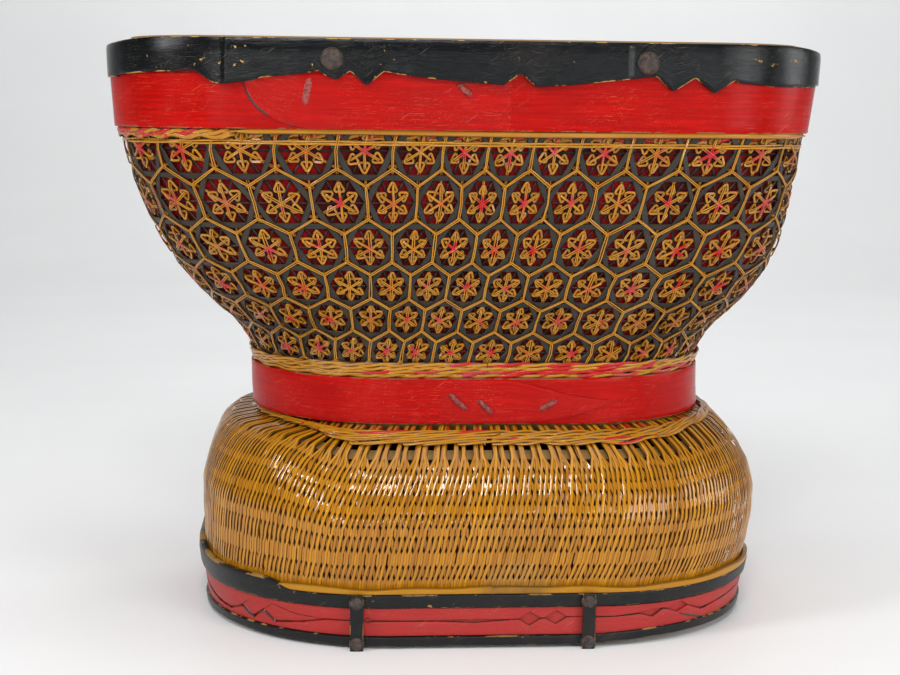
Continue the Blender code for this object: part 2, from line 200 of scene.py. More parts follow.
class Wall:
    """The outer face of a woven wall, read by distance up the wall and distance around it."""

    step = 0.0005

    def __init__(self, levels, softness, raised=None):
        self.raised = raised
        levels = np.array(levels)
        lengths = np.hypot(np.diff(levels[:, 0]), np.diff(levels[:, 3]))
        runs = np.concatenate([[0.0], np.cumsum(lengths)])
        self.run = np.arange(0.0, runs[-1], self.step)
        reach = int(softness / self.step)
        window = np.hanning(2 * reach + 3)[1:-1]
        window /= window.sum()
        columns = []
        for column in levels.T:
            dense = np.interp(self.run, runs, column)
            padded = np.pad(dense, len(window) // 2, mode="reflect", reflect_type="odd")
            columns.append(np.convolve(padded, window, "valid"))
        self.levels = columns
        self.slopes = [np.gradient(column, self.run) for column in columns]

    def at(self, run):
        return [np.interp(run, self.run, column) for column in self.levels]

    def girth(self, run):
        return girth_of(*self.at(run)[:3])

    def run_at(self, z):
        return np.interp(z, self.levels[3], self.run)

    def place(self, around, run, out=0.0):
        half_width, half_depth, corner, z = self.at(run)
        wider, deeper, rounder, rise = (np.interp(run, self.run, column) for column in self.slopes)
        x, y, out_x, out_y = plan_point(around, half_width, half_depth, corner)
        flare = np.abs(out_x) * (wider - rounder) + np.abs(out_y) * (deeper - rounder) + rounder
        normals = unit(np.stack([out_x * rise, out_y * rise, -flare + 0 * x], -1))
        z = z + 0 * x
        aside, lifted = self.raised(out_x, z) if self.raised else (0.0, 0.0)
        points = np.stack([x + lean_at(z) + aside, y, z + lifted], -1)
        return points + normals * np.asarray(out + 0 * x)[..., None], normals


def level_of(size, inwards):
    """Half width, half depth and corner of a level, moved in from its outer size."""
    width, depth, side_straight = size
    return tuple(length - inwards for length in (width / 2, depth / 2, (depth - side_straight) / 2))


rim_shell = hoop_thickness["rim_black_hoop"] + hoop_thickness["rim_red_hoop"] + 2 * gap
rim_wall = level_of(rim_size, rim_shell)
waist_wall = level_of(waist_size, hoop_thickness["waist_red_hoop"] + gap)
base_wall = level_of(base_size, hoop_thickness["base_upper_black_hoop"] + gap)
foot_wall = level_of(foot_size, hoop_thickness["base_upper_black_hoop"] + gap)


def between(low, high, share):
    return [a + (b - a) * share for a, b in zip(low, high)]


def bowl_levels():
    levels = [(*waist_wall, waist_low)]
    for height_share, flare_share in bowl_shares:
        z = waist_high + (rim_hoop_low - waist_high) * height_share
        levels.append((*between(waist_wall, rim_wall, flare_share), z))
    levels.append((*rim_wall, rim_top))
    return levels


def belly_levels(steps=12):
    levels = [(*foot_wall, floor_low), (*base_wall, base_top)]
    for step in range(1, steps + 1):
        share = step / steps
        swell = belly_swell * (1.0 - (1.0 - share) ** 2)
        z = base_top + (belly_equator - base_top) * share
        levels.append((*(length + swell for length in base_wall), z))
    for height_share, width_share in shoulder_shares[1:]:
        level = between(waist_wall, base_wall, width_share)
        z = belly_equator + (waist_low - gap - belly_equator) * height_share
        levels.append((*(length + belly_swell * width_share for length in level), z))
    levels.append((*waist_wall, waist_high))
    return levels


# How the weave of the belly is out of level: height, rise at the left end and at the right, and how far
# it is drawn in at the left end and at the right
belly_raises = (
    (0.0374, 0.0, 0.0, 0.0, 0.0), (0.0450, 0.0015, 0.0, 0.0, 0.0),
    (0.0550, 0.0035, 0.0005, 0.0, 0.0),
    (0.0620, 0.0050, 0.0018, 0.0, 0.0), (0.0700, 0.0068, 0.0030, 0.0, 0.0),
    (0.0800, 0.0078, 0.0028, 0.0, 0.0),
    (0.0870, 0.0080, 0.0024, 0.0006, 0.0), (0.0925, 0.0070, 0.0020, 0.0028, 0.0),
    (0.0955, 0.0050, 0.0018, 0.0046, 0.0), (0.0985, 0.0026, 0.0022, 0.0064, -0.0008),
    (0.1018, 0.0006, 0.0010, 0.0064, -0.0004), (0.1046, 0.0, 0.0, 0.0044, 0.0),
)


# How far the wall faces sideways where its two ends begin, and over how much they fade in
left_end_from = 0.22
right_end_from = 0.40
end_ease = 0.45


def raised_belly(out_x, z):
    """How far a place of the belly is shifted towards +X and upwards."""
    heights, *columns = np.array(belly_raises).T
    left, right, drawn_left, drawn_right = (np.interp(z, heights, column) for column in columns)
    left_end = smooth_step((-out_x - left_end_from) / end_ease)
    right_end = smooth_step((out_x - right_end_from) / end_ease)
    return drawn_left * left_end - drawn_right * right_end, left * left_end + right * right_end


bowl = Wall(bowl_levels(), 0.006)
belly = Wall(belly_levels(), 0.003, raised_belly)
rim_face = Hoop(lambda z: rim_wall, rim_top).grown(gap)
waist_face = Hoop(lambda z: waist_wall, waist_low).grown(gap)
base_face = Hoop(lambda z: belly.at(belly.run_at(z))[:3], base_top).grown(gap)


class BasketWeave(bpy.types.PropertyGroup):
    """Sizes of the woven splints."""

    flower_columns: bpy.props.IntProperty(
        name="Flower columns", description="Flowers in one row round the bowl", default=36, min=12,
    )
    petal_width: bpy.props.FloatProperty(
        name="Petal splint", description="Width of a golden petal splint", default=0.00132, unit="LENGTH",
    )
    wide_black_width: bpy.props.FloatProperty(
        name="Wide black splint", description="Width of a splint between the flowers",
        default=0.0030, unit="LENGTH",
    )
    thin_black_width: bpy.props.FloatProperty(
        name="Thin black splint", description="Width of a splint through the flowers",
        default=0.0010, unit="LENGTH",
    )
    double_width: bpy.props.FloatProperty(
        name="Doubled splint", description="Width of each of the two splints that lie side by side",
        default=0.00067, unit="LENGTH",
    )
    belly_slivers: bpy.props.IntProperty(
        name="Belly slivers", description="Upper slivers round the belly", default=324, min=60, step=4,
    )
    sliver_width: bpy.props.FloatProperty(
        name="Belly sliver", description="Width of a sliver of the belly", default=0.00162, unit="LENGTH",
    )


class BasketColours(bpy.types.PropertyGroup):
    """Colours of the finishes."""

    gold: bpy.props.FloatVectorProperty(
        name="Golden splint", description="Varnished splint where it is brightest",
        subtype="COLOR", size=3, default=(0.620, 0.270, 0.005), min=0, max=1,
    )
    amber: bpy.props.FloatVectorProperty(
        name="Amber splint", description="Varnished splint where it is darkest",
        subtype="COLOR", size=3, default=(0.330, 0.120, 0.004), min=0, max=1,
    )
    tan: bpy.props.FloatVectorProperty(
        name="Aged splint", description="Splint whose varnish has worn off",
        subtype="COLOR", size=3, default=(0.440, 0.220, 0.045), min=0, max=1,
    )
    black_splint: bpy.props.FloatVectorProperty(
        name="Black splint", description="Dyed splint of the lattice",
        subtype="COLOR", size=3, default=(0.030, 0.025, 0.018), min=0, max=1,
    )
    black_lacquer: bpy.props.FloatVectorProperty(
        name="Black lacquer", description="Lacquer of the outer hoops and straps",
        subtype="COLOR", size=3, default=(0.0028, 0.0037, 0.0046), min=0, max=1,
    )
    red_lacquer: bpy.props.FloatVectorProperty(
        name="Red lacquer", description="Lacquer of the red hoops",
        subtype="COLOR", size=3, default=(0.440, 0.0025, 0.0010), min=0, max=1,
    )
    lining: bpy.props.FloatVectorProperty(
        name="Lining", description="Dark red layer behind the lattice",
        subtype="COLOR", size=3, default=(0.215, 0.001, 0.0025), min=0, max=1,
    )
    bamboo: bpy.props.FloatVectorProperty(
        name="Bare bamboo", description="Unpainted hoops and worn edges",
        subtype="COLOR", size=3, default=(0.440, 0.250, 0.070), min=0, max=1,
    )
    iron: bpy.props.FloatVectorProperty(
        name="Nails", description="Rusty brown nail heads",
        subtype="COLOR", size=3, default=(0.026, 0.017, 0.013), min=0, max=1,
    )
    floor: bpy.props.FloatVectorProperty(
        name="Floor", description="Floor and backdrop",
        subtype="COLOR", size=3, default=(0.930, 0.932, 0.935), min=0, max=1,
    )


class BasketCamera(bpy.types.PropertyGroup):
    """Where the camera stands."""

    distance: bpy.props.FloatProperty(
        name="Distance", description="From the camera to the middle of the basket, level",
        default=0.9064, unit="LENGTH",
    )
    height: bpy.props.FloatProperty(
        name="Height", description="Above the surface", default=0.2603, unit="LENGTH",
    )
    aside: bpy.props.FloatProperty(
        name="Aside", description="To the right of the middle", default=-0.0023, unit="LENGTH",
    )
    focal_length: bpy.props.FloatProperty(
        name="Focal length", description="In millimetres, on a film 36 mm wide", default=68.0,
    )
    down: bpy.props.FloatProperty(
        name="Down", description="Turn down from level", default=0.135, subtype="ANGLE",
    )
    turn: bpy.props.FloatProperty(
        name="Turn", description="How far the basket stands turned from the camera's own direction",
        default=0.080, subtype="ANGLE",
    )
    pan: bpy.props.FloatProperty(
        name="Pan", description="Turn of the camera to its left", default=0.002, subtype="ANGLE",
    )
    roll: bpy.props.FloatProperty(
        name="Roll", description="Turn about the view", default=0.012, subtype="ANGLE",
    )


# Splint sections: share of the half width, and share of the thickness, round the splint
flat_section = ((-1.0, 0.0), (-0.6, 1.0), (0.6, 1.0), (1.0, 0.0))
blunt_section = ((-1.0, 0.0), (-0.8, 1.0), (0.8, 1.0), (1.0, 0.0))
crowned_section = ((-1.0, 0.0), (-0.84, 0.84), (0.0, 1.0), (0.84, 0.84), (1.0, 0.0))
ridge_section = ((-1.0, 0.0), (0.0, 1.0), (1.0, 0.0))
round_section = ((-1.0, 0.5), (-0.5, 1.0), (0.5, 1.0), (1.0, 0.5), (0.5, 0.0), (-0.5, 0.0))

weld_distance = 2e-6
uv_per_metre = 100
# How far apart in the grain two splints of one piece begin
grain_apart = 3.7


def deselect_all():
    if bpy.context.object and bpy.context.object.mode != "OBJECT":
        bpy.ops.object.mode_set(mode="OBJECT")
    bpy.ops.object.select_all(action="DESELECT")


def only(piece):
    deselect_all()
    piece.select_set(True)
    bpy.context.view_layer.objects.active = piece


def apply_modifier(piece, name, kind, **settings):
    modifier = piece.modifiers.new(name, kind)
    for setting, value in settings.items():
        setattr(modifier, setting, value)
    only(piece)
    bpy.ops.object.modifier_apply(modifier=modifier.name)


def unit_sheets(name, copies, columns, rows):
    """A sheet of columns by rows, copied along Z, with the copy, row and column of each of its vertices."""
    deselect_all()
    bpy.ops.mesh.primitive_grid_add(x_subdivisions=columns, y_subdivisions=rows, size=1)
    piece = bpy.context.object
    piece.name = name
    piece.data.name = name
    if copies > 1:
        apply_modifier(
            piece, "copies", "ARRAY", count=copies, use_relative_offset=False,
            use_constant_offset=True, constant_offset_displace=(0, 0, 1), use_merge_vertices=False,
        )
    places = np.empty(len(piece.data.vertices) * 3, np.float32)
    piece.data.vertices.foreach_get("co", places)
    places = places.reshape(-1, 3)
    column = np.rint((places[:, 0] + 0.5) * columns).astype(int)
    row = np.rint((places[:, 1] + 0.5) * rows).astype(int)
    copy = np.rint(places[:, 2]).astype(int)
    return piece, (copy, row, column)


def write_places(piece, places):
    piece.data.vertices.foreach_set("co", np.ascontiguousarray(places, np.float32).ravel())
    piece.data.update()


def write_attribute(piece, name, values):
    attribute = piece.data.attributes.new(name, "FLOAT", "POINT")
    attribute.data.foreach_set("value", np.ascontiguousarray(values, np.float32))


def write_uv(piece, values):
    """values has one pair for each vertex."""
    layer = piece.data.uv_layers.new(name="along")
    corners = np.empty(len(piece.data.loops), np.int32)
    piece.data.loops.foreach_get("vertex_index", corners)
    layer.data.foreach_set("uv", np.ascontiguousarray(values[corners], np.float32).ravel())


def weld(piece, fill_sides=0):
    only(piece)
    bpy.ops.object.mode_set(mode="EDIT")
    bpy.ops.mesh.select_all(action="SELECT")
    bpy.ops.mesh.remove_doubles(threshold=weld_distance)
    if fill_sides:
        bpy.ops.mesh.select_all(action="SELECT")
        bpy.ops.mesh.fill_holes(sides=fill_sides)
    bpy.ops.object.mode_set(mode="OBJECT")


def turn_faces(piece, inside=False):
    """Turn all faces outwards, or all inwards."""
    only(piece)
    bpy.ops.object.mode_set(mode="EDIT")
    bpy.ops.mesh.select_all(action="SELECT")
    bpy.ops.mesh.normals_make_consistent(inside=inside)
    bpy.ops.object.mode_set(mode="OBJECT")


def thicken(piece, points, uv, thickness, bevel=0.0, even=True):
    """Shape a sheet, give it its thickness inwards from its outer face, and round its edges."""
    write_places(piece, points)
    write_uv(piece, uv)
    write_attribute(piece, "tone", np.full(len(points), 0.5))
    weld(piece)
    apply_modifier(piece, "wall", "SOLIDIFY", thickness=thickness, offset=-1.0, use_even_offset=even)
    if bevel:
        apply_modifier(
            piece, "rounding", "BEVEL", width=bevel, segments=2, limit_method="ANGLE",
            angle_limit=math.radians(50),
        )


def finish_piece(piece, slot, material, *nodes, smooth=40.0):
    only(piece)
    bpy.ops.object.shade_smooth_by_angle(angle=math.radians(smooth))
    piece.data.materials.clear()
    piece.data.materials.append(material)
    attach(piece, "root")
    if nodes:
        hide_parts(*nodes)


def lay_splints(name, points, normals, half_width, thickness, section, tone, paint=None, closed=False,
                roll=0.0):
    """Splints along lines on the wall. points and normals have one row of places for each splint."""
    count, length = points.shape[:2]
    sides = len(section)
    if closed:
        ahead = np.roll(points[:, :-1], -1, axis=1) - np.roll(points[:, :-1], 1, axis=1)
        ahead = np.concatenate([ahead, ahead[:, :1]], axis=1)
    else:
        ahead = np.gradient(points, axis=1)
    side = unit(np.cross(normals, unit(ahead)))
    up = unit(np.cross(unit(ahead), side))
    roll = (np.asarray(roll) + np.zeros((count, length)))[..., None]
    side, up = side * np.cos(roll) + up * np.sin(roll), up * np.cos(roll) - side * np.sin(roll)
    across = np.array([share[0] for share in section] + [section[0][0]])
    height = np.array([share[1] for share in section] + [section[0][1]])
    wide = np.broadcast_to(np.asarray(half_width), (count, length))
    thick = np.broadcast_to(np.asarray(thickness), (count, length))
    places = (
        points[:, :, None]
        + side[:, :, None] * (wide[:, :, None] * across)[..., None]
        + up[:, :, None] * (thick[:, :, None] * height)[..., None]
    )
    piece, (copy, row, column) = unit_sheets(name, count, sides, length - 1)
    # Columns run from right to left, so that the faces look outwards
    write_places(piece, places[copy, row, sides - column])
    steps = np.linalg.norm(np.diff(points, axis=1), axis=-1)
    along = np.concatenate([np.zeros((count, 1)), np.cumsum(steps, axis=1)], axis=1)
    grain = along[copy, row] * uv_per_metre + copy * grain_apart
    write_uv(piece, np.stack([grain, (across[sides - column] + 1) / 2], -1))
    tone = np.broadcast_to(np.asarray(tone).reshape(count, -1), (count, length))
    write_attribute(piece, "tone", tone[copy, row])
    if paint is None:
        paint = np.zeros((count, length))
    write_attribute(piece, "paint", paint[copy, row])
    weld(piece, 0 if closed else sides)
    return piece


# The bowl's lattice. In its flat plan the flowers stand one unit apart, in rows this far apart
row_rise = math.sqrt(3) / 2
# How closely the flowers crowd towards the middles of the front and back
flower_crowding = (0.20, 0.20, 0.20, 0.20, 0.17, 0.13, 0.10, 0.10)
# How far each row's left end stands up, and its right end down, in metres
flower_tilts = (0.0, 0.0, -0.0010, 0.0, 0.0005, 0.0014, 0.0014, 0.0014)
# How far the flowers of the front stand off their even places, in millimetres: the first one's column,
# and one number for each, from the left. From row 0 down; rows beyond the last are like it
flower_shifts = (
    (-5.5, (-8.5, -8.5, -4.0, -1.5, 2.0, 0.5, 0.5, -1.0, -0.5, 0.0, 0.0, -1.0)),
    (-6.0, (-0.5, -1.5, -2.0, 1.5, 3.0, 3.5, 2.0, 1.0, 1.5, 0.5, 0.5, -1.5, -1.5)),
    (-6.5, (5.0, 2.5, 2.0, 2.5, 3.5, 2.5, 1.5, 0.5, -1.0, -1.0, 0.0, -1.0, -4.0)),
    (-6.0, (8.0, 7.5, 5.0, 4.5, 3.5, 1.0, 0.0, -1.0, -0.5, -1.0, -2.0, -3.5, -6.0)),
    (-5.5, (8.5, 4.5, 4.5, 3.5, 2.0, -0.5, 0.0, 0.0, 1.0, 2.0, 1.5, 1.5)),
    (-5.0, (3.5, 4.0, 3.0, 2.5, -0.5, -0.5, 1.5, 4.0, 7.0, 9.0, 9.5)),
)
first_drift = 0.0056
drift_per_drop = -0.236
petal_offset = 0.185
petal_rounding = 0.031
# From the outer face of the wall to the lowest splint
lattice_floor = -0.0029
# Where the lattice ends above and below, in rows
lattice_top_row = -0.42
lattice_bottom_row = 6.95


def on_bowl(plan_x, plan_y, columns):
    """Distance around and run on the bowl for a place in the lattice's flat plan."""
    row = -plan_y / row_rise
    numbers = np.arange(len(flower_row_heights)) + first_flower_row
    column = from_front(plan_x, columns)
    z = np.interp(row, numbers, flower_row_heights)
    z = z - np.interp(row, numbers, flower_tilts) * np.sin(math.tau * column / columns)
    crowd = np.interp(row, numbers, flower_crowding)
    drift = first_drift + drift_per_drop * (flower_row_heights[1] - z)
    run = bowl.run_at(z)
    turn = math.tau * plan_x / columns
    even = bowl.girth(run) / math.tau * (turn - crowd / 2 * np.sin(2 * turn)) + drift
    return even + shift_of_flowers(column, row, columns), run


def shift_of_flowers(column, row, columns):
    """How far a place near the flowers of the front is moved with them, in metres."""
    fade = 5
    shifts = []
    for first, row_shifts in flower_shifts:
        last = first + len(row_shifts) - 1
        places = [-columns / 2, first - fade, *np.arange(first, last + 1), last + fade, columns / 2]
        shifts.append(np.interp(column, places, [0.0, 0.0, *row_shifts, 0.0, 0.0]))
    shifts = np.array(shifts)
    rank = np.clip(row, 0, len(shifts) - 1)
    low = np.clip(np.floor(rank), 0, len(shifts) - 2).astype(int)
    above, below = (np.take_along_axis(shifts, low[None] + step, 0)[0] for step in (0, 1))
    return 0.001 * (above + (below - above) * (rank - low))


def flower_shift(row):
    """The flowers stand at half numbers in even rows, and at whole numbers in the others."""
    return np.where(np.mod(row, 2) == 0, 0.5, 0.0)


def lattice_lines(columns, degrees, offset, spacing, steps_per_unit, places=None):
    """Straight lines of the lattice's plan, where row 0 is at Y 0.

    Returns plan X and Y, and the distance along each line from a point level with a flower on it.
    """
    if degrees == 0:
        rows = np.arange(-1, 8)
        level = rows - offset / row_rise
        rows = rows[(level > lattice_top_row) & (level < lattice_bottom_row)]
        count = int(columns * steps_per_unit)
        x = np.broadcast_to(np.linspace(0, columns, count + 1), (len(rows), count + 1))
        y = np.broadcast_to((-rows * row_rise + offset)[:, None], x.shape)
        return x, y, x - flower_shift(rows)[:, None]
    angle = math.radians(degrees)
    low = -lattice_bottom_row * row_rise
    high = -lattice_top_row * row_rise
    starts = 0.5 - offset / math.sin(angle) + np.arange(int(columns / spacing)) * spacing
    steps = int(abs((high - low) / math.sin(angle)) * steps_per_unit)
    along = np.linspace(low, high, steps + 1) / math.sin(angle)
    if places is not None:
        along = places[(places > along.min()) & (places < along.max())]
    x = starts[:, None] + along * math.cos(angle)
    y = np.broadcast_to(along * math.sin(angle), x.shape)
    return x, y, np.broadcast_to(along, x.shape)


def random_tones(generator, count, low=0.0, high=1.0):
    return low + (high - low) * generator.random((count, 1))


def wavering(generator, shape, size, every=6):
    """Slow random wavering along each line."""
    count, length = shape
    knots = generator.normal(0, size, (count, length // every + 3))
    places = np.arange(length) / every
    return np.stack([np.interp(places, np.arange(knots.shape[1]), row) for row in knots])


def lattice_splints(name, lines, out, half_width, thickness, section, generator, closed, columns,
                    paint=None, beside=0.0, tones=(0.0, 1.0), roll=0.0):
    """Splints along lines of the lattice's plan, each a little wavering, beside the line if asked."""
    plan_x, plan_y, along = lines
    around, run = on_bowl(plan_x, plan_y, columns)
    waver = 0.0 if closed else wavering(generator, around.shape, 0.00012)
    points, normals = bowl.place(around + waver, run, lattice_floor + out)
    if beside:
        ahead = np.gradient(points, axis=1)
        points = points + unit(np.cross(normals, unit(ahead))) * beside
    tone = random_tones(generator, len(points), *tones)
    if not closed:
        tone = tone + wavering(generator, around.shape, 0.16, every=7)
        roll = wavering(generator, around.shape, roll, every=5)
    return lay_splints(name, points, normals, half_width, thickness, section, tone, paint, closed, roll)


def join(name, pieces):
    only(pieces[0])
    for piece in pieces[1:]:
        piece.select_set(True)
    bpy.ops.object.join()
    joined = bpy.context.object
    joined.name = name
    joined.data.name = name
    return joined


class BASKET_OT_black_lattice(bpy.types.Operator):
    """Lay the wide black splints between the flowers and the thin ones through them"""

    bl_idname = "basket.black_lattice"
    bl_label = "Black lattice splints"

    wide_out = 0.0015
    wide_thickness = 0.0005
    thin_out = 0.00055
    thin_thickness = 0.0004
    # How far a slanted splint bows away from each flower beside it, in the plan
    bow = 0.012

    def execute(self, context):
        weave = context.scene.basket_weave
        generator = np.random.default_rng(11)
        columns = weave.flower_columns
        pieces = []
        for order, degrees in enumerate((0, 60, -60)):
            level = degrees == 0
            plan_x, plan_y, along = lattice_lines(columns, degrees, row_rise / 2, 1.0, 8)
            bow = (0.0 if level else self.bow) * np.cos(math.tau * along)
            angle = math.radians(degrees)
            lines = plan_x - math.sin(angle) * bow, plan_y + math.cos(angle) * bow, along
            out = self.wide_out + 0.00025 * np.cos(math.tau * 2 * (along + 0.08 * order))
            uneven = 1.0 if level else 1.0 + wavering(generator, along.shape, 0.13, every=5)
            pieces.append(lattice_splints(
                f"wide_black_{order}", lines, out, weave.wide_black_width / 2 * uneven,
                self.wide_thickness, blunt_section, generator, level, columns, roll=0.10,
            ))
        for order, degrees in enumerate((0, 60, -60)):
            lines = lattice_lines(columns, degrees, 0.0, 1.0, 6)
            out = self.thin_out + 0.00015 * np.cos(math.tau * lines[2])
            pieces.append(lattice_splints(
                f"thin_black_{order}", lines, out, weave.thin_black_width / 2, self.thin_thickness,
                ridge_section, generator, degrees == 0, columns,
            ))
        piece = join("black_lattice_splints", pieces)
        finish_piece(piece, "golden_splint", black_splint_look(context), "flower_lattice")
        return {"FINISHED"}


def petal_path(offset, rounding, steps=4):
    """A closed triangle with rounded corners, its tip along X away from the flower's middle."""
    corners = np.array([
        (offset, -offset / math.sqrt(3)), (2 * offset, 0.0), (offset, offset / math.sqrt(3)),
    ])
    path = [np.array([(offset, 0.0)])]
    for number, corner in enumerate(corners):
        towards = unit(corner - corners[number - 1])
        onwards = unit(corners[(number + 1) % 3] - corner)
        centre = corner + unit(onwards - towards) * 2 * rounding
        start = math.atan2(-towards[0], towards[1])
        turn = start + np.linspace(0, math.tau / 3, steps + 1)
        path.append(centre + rounding * np.stack([np.cos(turn), np.sin(turn)], -1))
    path.append(path[0])
    return np.concatenate(path)


class BASKET_OT_petals(bpy.types.Operator):
    """Fold the golden strips that make the petals, each a small closed loop"""

    bl_idname = "basket.petals"
    bl_label = "Golden petals"

    # How far a petal stands out at the flower's middle, how much more at its tip, and how its sides differ
    rise = 0.0008
    tip_rise = 0.0006
    lap_rise = 0.00012
    thickness = 0.0006
    # How much the petals differ in turn, size, rise and roll
    uneven_turn = 0.05
    uneven_size = 0.035
    uneven_rise = 0.0001
    uneven_roll = 0.16

    def execute(self, context):
        weave = context.scene.basket_weave
        generator = np.random.default_rng(12)
        columns = weave.flower_columns
        rows = np.arange(first_flower_row, first_flower_row + len(flower_row_heights))
        centre_x = np.arange(columns)[None, :] + flower_shift(rows)[:, None]
        centre_y = np.broadcast_to(-rows[:, None] * row_rise, centre_x.shape)
        path_x, path_y = petal_path(petal_offset, petal_rounding).T
        towards_tip = (path_x - petal_offset) / petal_offset
        for order, degrees in enumerate((90, 30, 150)):
            pieces = []
            for way in (0, 180):
                count = centre_x.size
                angle = math.radians(degrees + way) + generator.normal(0, self.uneven_turn, (count, 1))
                size = 1.0 + generator.normal(0, self.uneven_size, (count, 1))
                x = centre_x.ravel()[:, None] + size * (path_x * np.cos(angle) - path_y * np.sin(angle))
                y = centre_y.ravel()[:, None] + size * (path_x * np.sin(angle) + path_y * np.cos(angle))
                out = self.rise + self.tip_rise * towards_tip + self.lap_rise * np.sign(path_y)
                out = out + self.uneven_rise * generator.normal(0, 1, (count, 1))
                around, run = on_bowl(x, y, columns)
                points, normals = bowl.place(around, run, lattice_floor + out)
                # Painted light and shade: the side of each loop that lies higher is lighter, the lower one
                # darker; the rest of the tone is random
                tone = 0.1 + 0.6 * generator.random((count, 1)) + 0.15 * np.sign(path_y)
                roll = self.uneven_roll * generator.normal(0, 1, (count, 1))
                pieces.append(lay_splints(
                    f"petals_{order}_{way}", points, normals, weave.petal_width / 2, self.thickness,
                    blunt_section, tone, closed=True, roll=roll,
                ))
            piece = join(f"petal_loops_{order + 1}", pieces)
            finish_piece(piece, "golden_splint", golden_splint_look(context), smooth=60.0)
        return {"FINISHED"}


class BASKET_OT_doubled_splints(bpy.types.Operator):
    """Lay the doubled splints: arms of the flowers, and six-sided outlines between them"""

    bl_idname = "basket.doubled_splints"
    bl_label = "Doubled splints"

    # Where the places of a splint lie, as distances from the nearest flower on its line
    knots = (0.10, 0.18, 0.245, 0.268, 0.292, 0.316, 0.350, 0.400)
    # How far a pair stands out where it lies low, as an arm and as an outline
    low_rise = 0.0002
    arm_rise = 0.0021
    outline_rise = 0.0020
    uneven_rise = 0.00025
    thickness = 0.0006
    # Where the arms end and the outlines begin, in the flat plan, and over how much they fade
    arm_end = 0.24
    arm_uneven = 0.05
    arm_fade = 0.05
    outline_from = 0.545
    outline_fade = 0.035
    # How far the two splints of a pair lie off their line, in splint widths
    apart = 0.54

    def execute(self, context):
        weave = context.scene.basket_weave
        generator = np.random.default_rng(13)
        columns = weave.flower_columns
        shape = (len(flower_row_heights), columns)
        aim = math.tau * generator.random(shape)
        aside = 0.02 + 0.09 * generator.random(shape)
        reach = 0.09 + 0.09 * generator.random(shape)
        strength = np.clip(generator.random(shape) * 2.2, 0.25, 1.0)
        spots = np.stack([aside * np.cos(aim), aside * np.sin(aim), reach, strength], -1)
        near = np.array(self.knots)
        near = np.concatenate([-near[::-1], [0.0], near])
        places = (np.arange(-16, 17)[:, None] * row_rise + near[None, :]).ravel()
        for order, degrees in enumerate((90, 30, -30)):
            pieces = []
            spacing = 0.5 if degrees == 90 else 1.0
            plan_x, plan_y, along = lattice_lines(columns, degrees, 0.0, spacing, 10, places=places)
            away = self.away_from_flower(plan_x, plan_y, degrees)
            reached = self.arm_end + self.arm_uneven * generator.random((len(plan_x), 1))
            arm = 1.0 - smooth_step((away - reached) / self.arm_fade)
            outline = smooth_step((away - self.outline_from) / self.outline_fade)
            raised = self.outline_rise + self.uneven_rise * generator.random((len(plan_x), 1))
            out = self.low_rise + self.arm_rise * arm + raised * outline + 0.00005 * order
            painted = self.paint_near_flowers(plan_x, plan_y, spots, columns)
            for side in (-1, 1):
                pieces.append(lattice_splints(
                    f"doubled_{order}_{side}", (plan_x, plan_y, along), out, weave.double_width / 2,
                    self.thickness, blunt_section, generator, False, columns, paint=painted,
                    beside=side * weave.double_width * self.apart, tones=(0.35, 1.1), roll=0.16,
                ))
            piece = join(f"doubled_splints_{order + 1}", pieces)
            finish_piece(piece, "golden_splint", golden_splint_look(context), smooth=60.0)
        return {"FINISHED"}

    @staticmethod
    def away_from_flower(plan_x, plan_y, degrees):
        """Distance along the line from the nearest flower on it."""
        row = -plan_y / row_rise
        angle = math.radians(degrees)
        step_y = math.sin(angle) / row_rise
        best = np.full(plan_x.shape, np.inf)
        for near in (-2, -1, 0, 1, 2):
            crossed = np.rint(row) + near
            ahead = (row - crossed) / step_y
            x_there = plan_x + ahead * math.cos(angle)
            meets = np.abs(from_front(x_there - flower_shift(crossed), 1.0)) < 0.01
            best = np.where(meets, np.minimum(best, np.abs(ahead)), best)
        return best

    @staticmethod
    def paint_near_flowers(plan_x, plan_y, spots, columns):
        """A dab of red near the middle of each flower, off to one side of it."""
        row = np.rint(-plan_y / row_rise)
        shift = flower_shift(row)
        column = np.rint(plan_x - shift)
        rank = np.clip(row - first_flower_row, 0, len(flower_row_heights) - 1).astype(int)
        dab = spots[rank, np.mod(column, columns).astype(int)]
        across = plan_x - shift - column - dab[..., 0]
        up = plan_y + row * row_rise - dab[..., 1]
        return dab[..., 3] * smooth_step((dab[..., 2] - np.hypot(across, up)) / 0.03)


def wall_sheet(name, wall, low, high, out, thickness, rows, columns=240):
    """A closed skin round a wall between two heights, thickened inwards from its outer face."""
    piece, (_, row, column) = unit_sheets(name, 1, columns, rows)
    run_low, run_high = wall.run_at(low), wall.run_at(high)
    run = run_low + (run_high - run_low) * row / rows
    around = wall.girth(run) * column / columns
    points, _ = wall.place(around, run, out)
    thicken(piece, points, np.stack([around, run], -1) * uv_per_metre, thickness)
    return piece


class BASKET_OT_lining(bpy.types.Operator):
    """Make the dark red lining behind the lattice"""

    bl_idname = "basket.lining"
    bl_label = "Lining"

    def execute(self, context):
        low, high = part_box("red_lining")
        piece = wall_sheet(
            "crimson_lining", bowl, low.z, high.z, -lattice_thickness - gap, lining_thickness, rows=60,
        )
        finish_piece(piece, "red_lining", lining_look(context), "red_lining")
        return {"FINISHED"}


def hoop_ring(name, face, z_low, z_high, thickness, columns=360, rows=4, out=None, bevel=0.0006):
    """An upright hoop. z_low and z_high may be functions of the distance around, and out of both."""
    piece, (_, row, column) = unit_sheets(name, 1, columns, rows)
    around = face.girth * column / columns
    low, high = (z(around) if callable(z) else z for z in (z_low, z_high))
    share = row / rows
    z = low + (high - low) * share
    proud = out(around, z) if out else 0.0
    points, _ = face.place(around, z, thickness + proud)
    thicken(piece, points, np.stack([around * uv_per_metre, share], -1), thickness, bevel)
    return piece


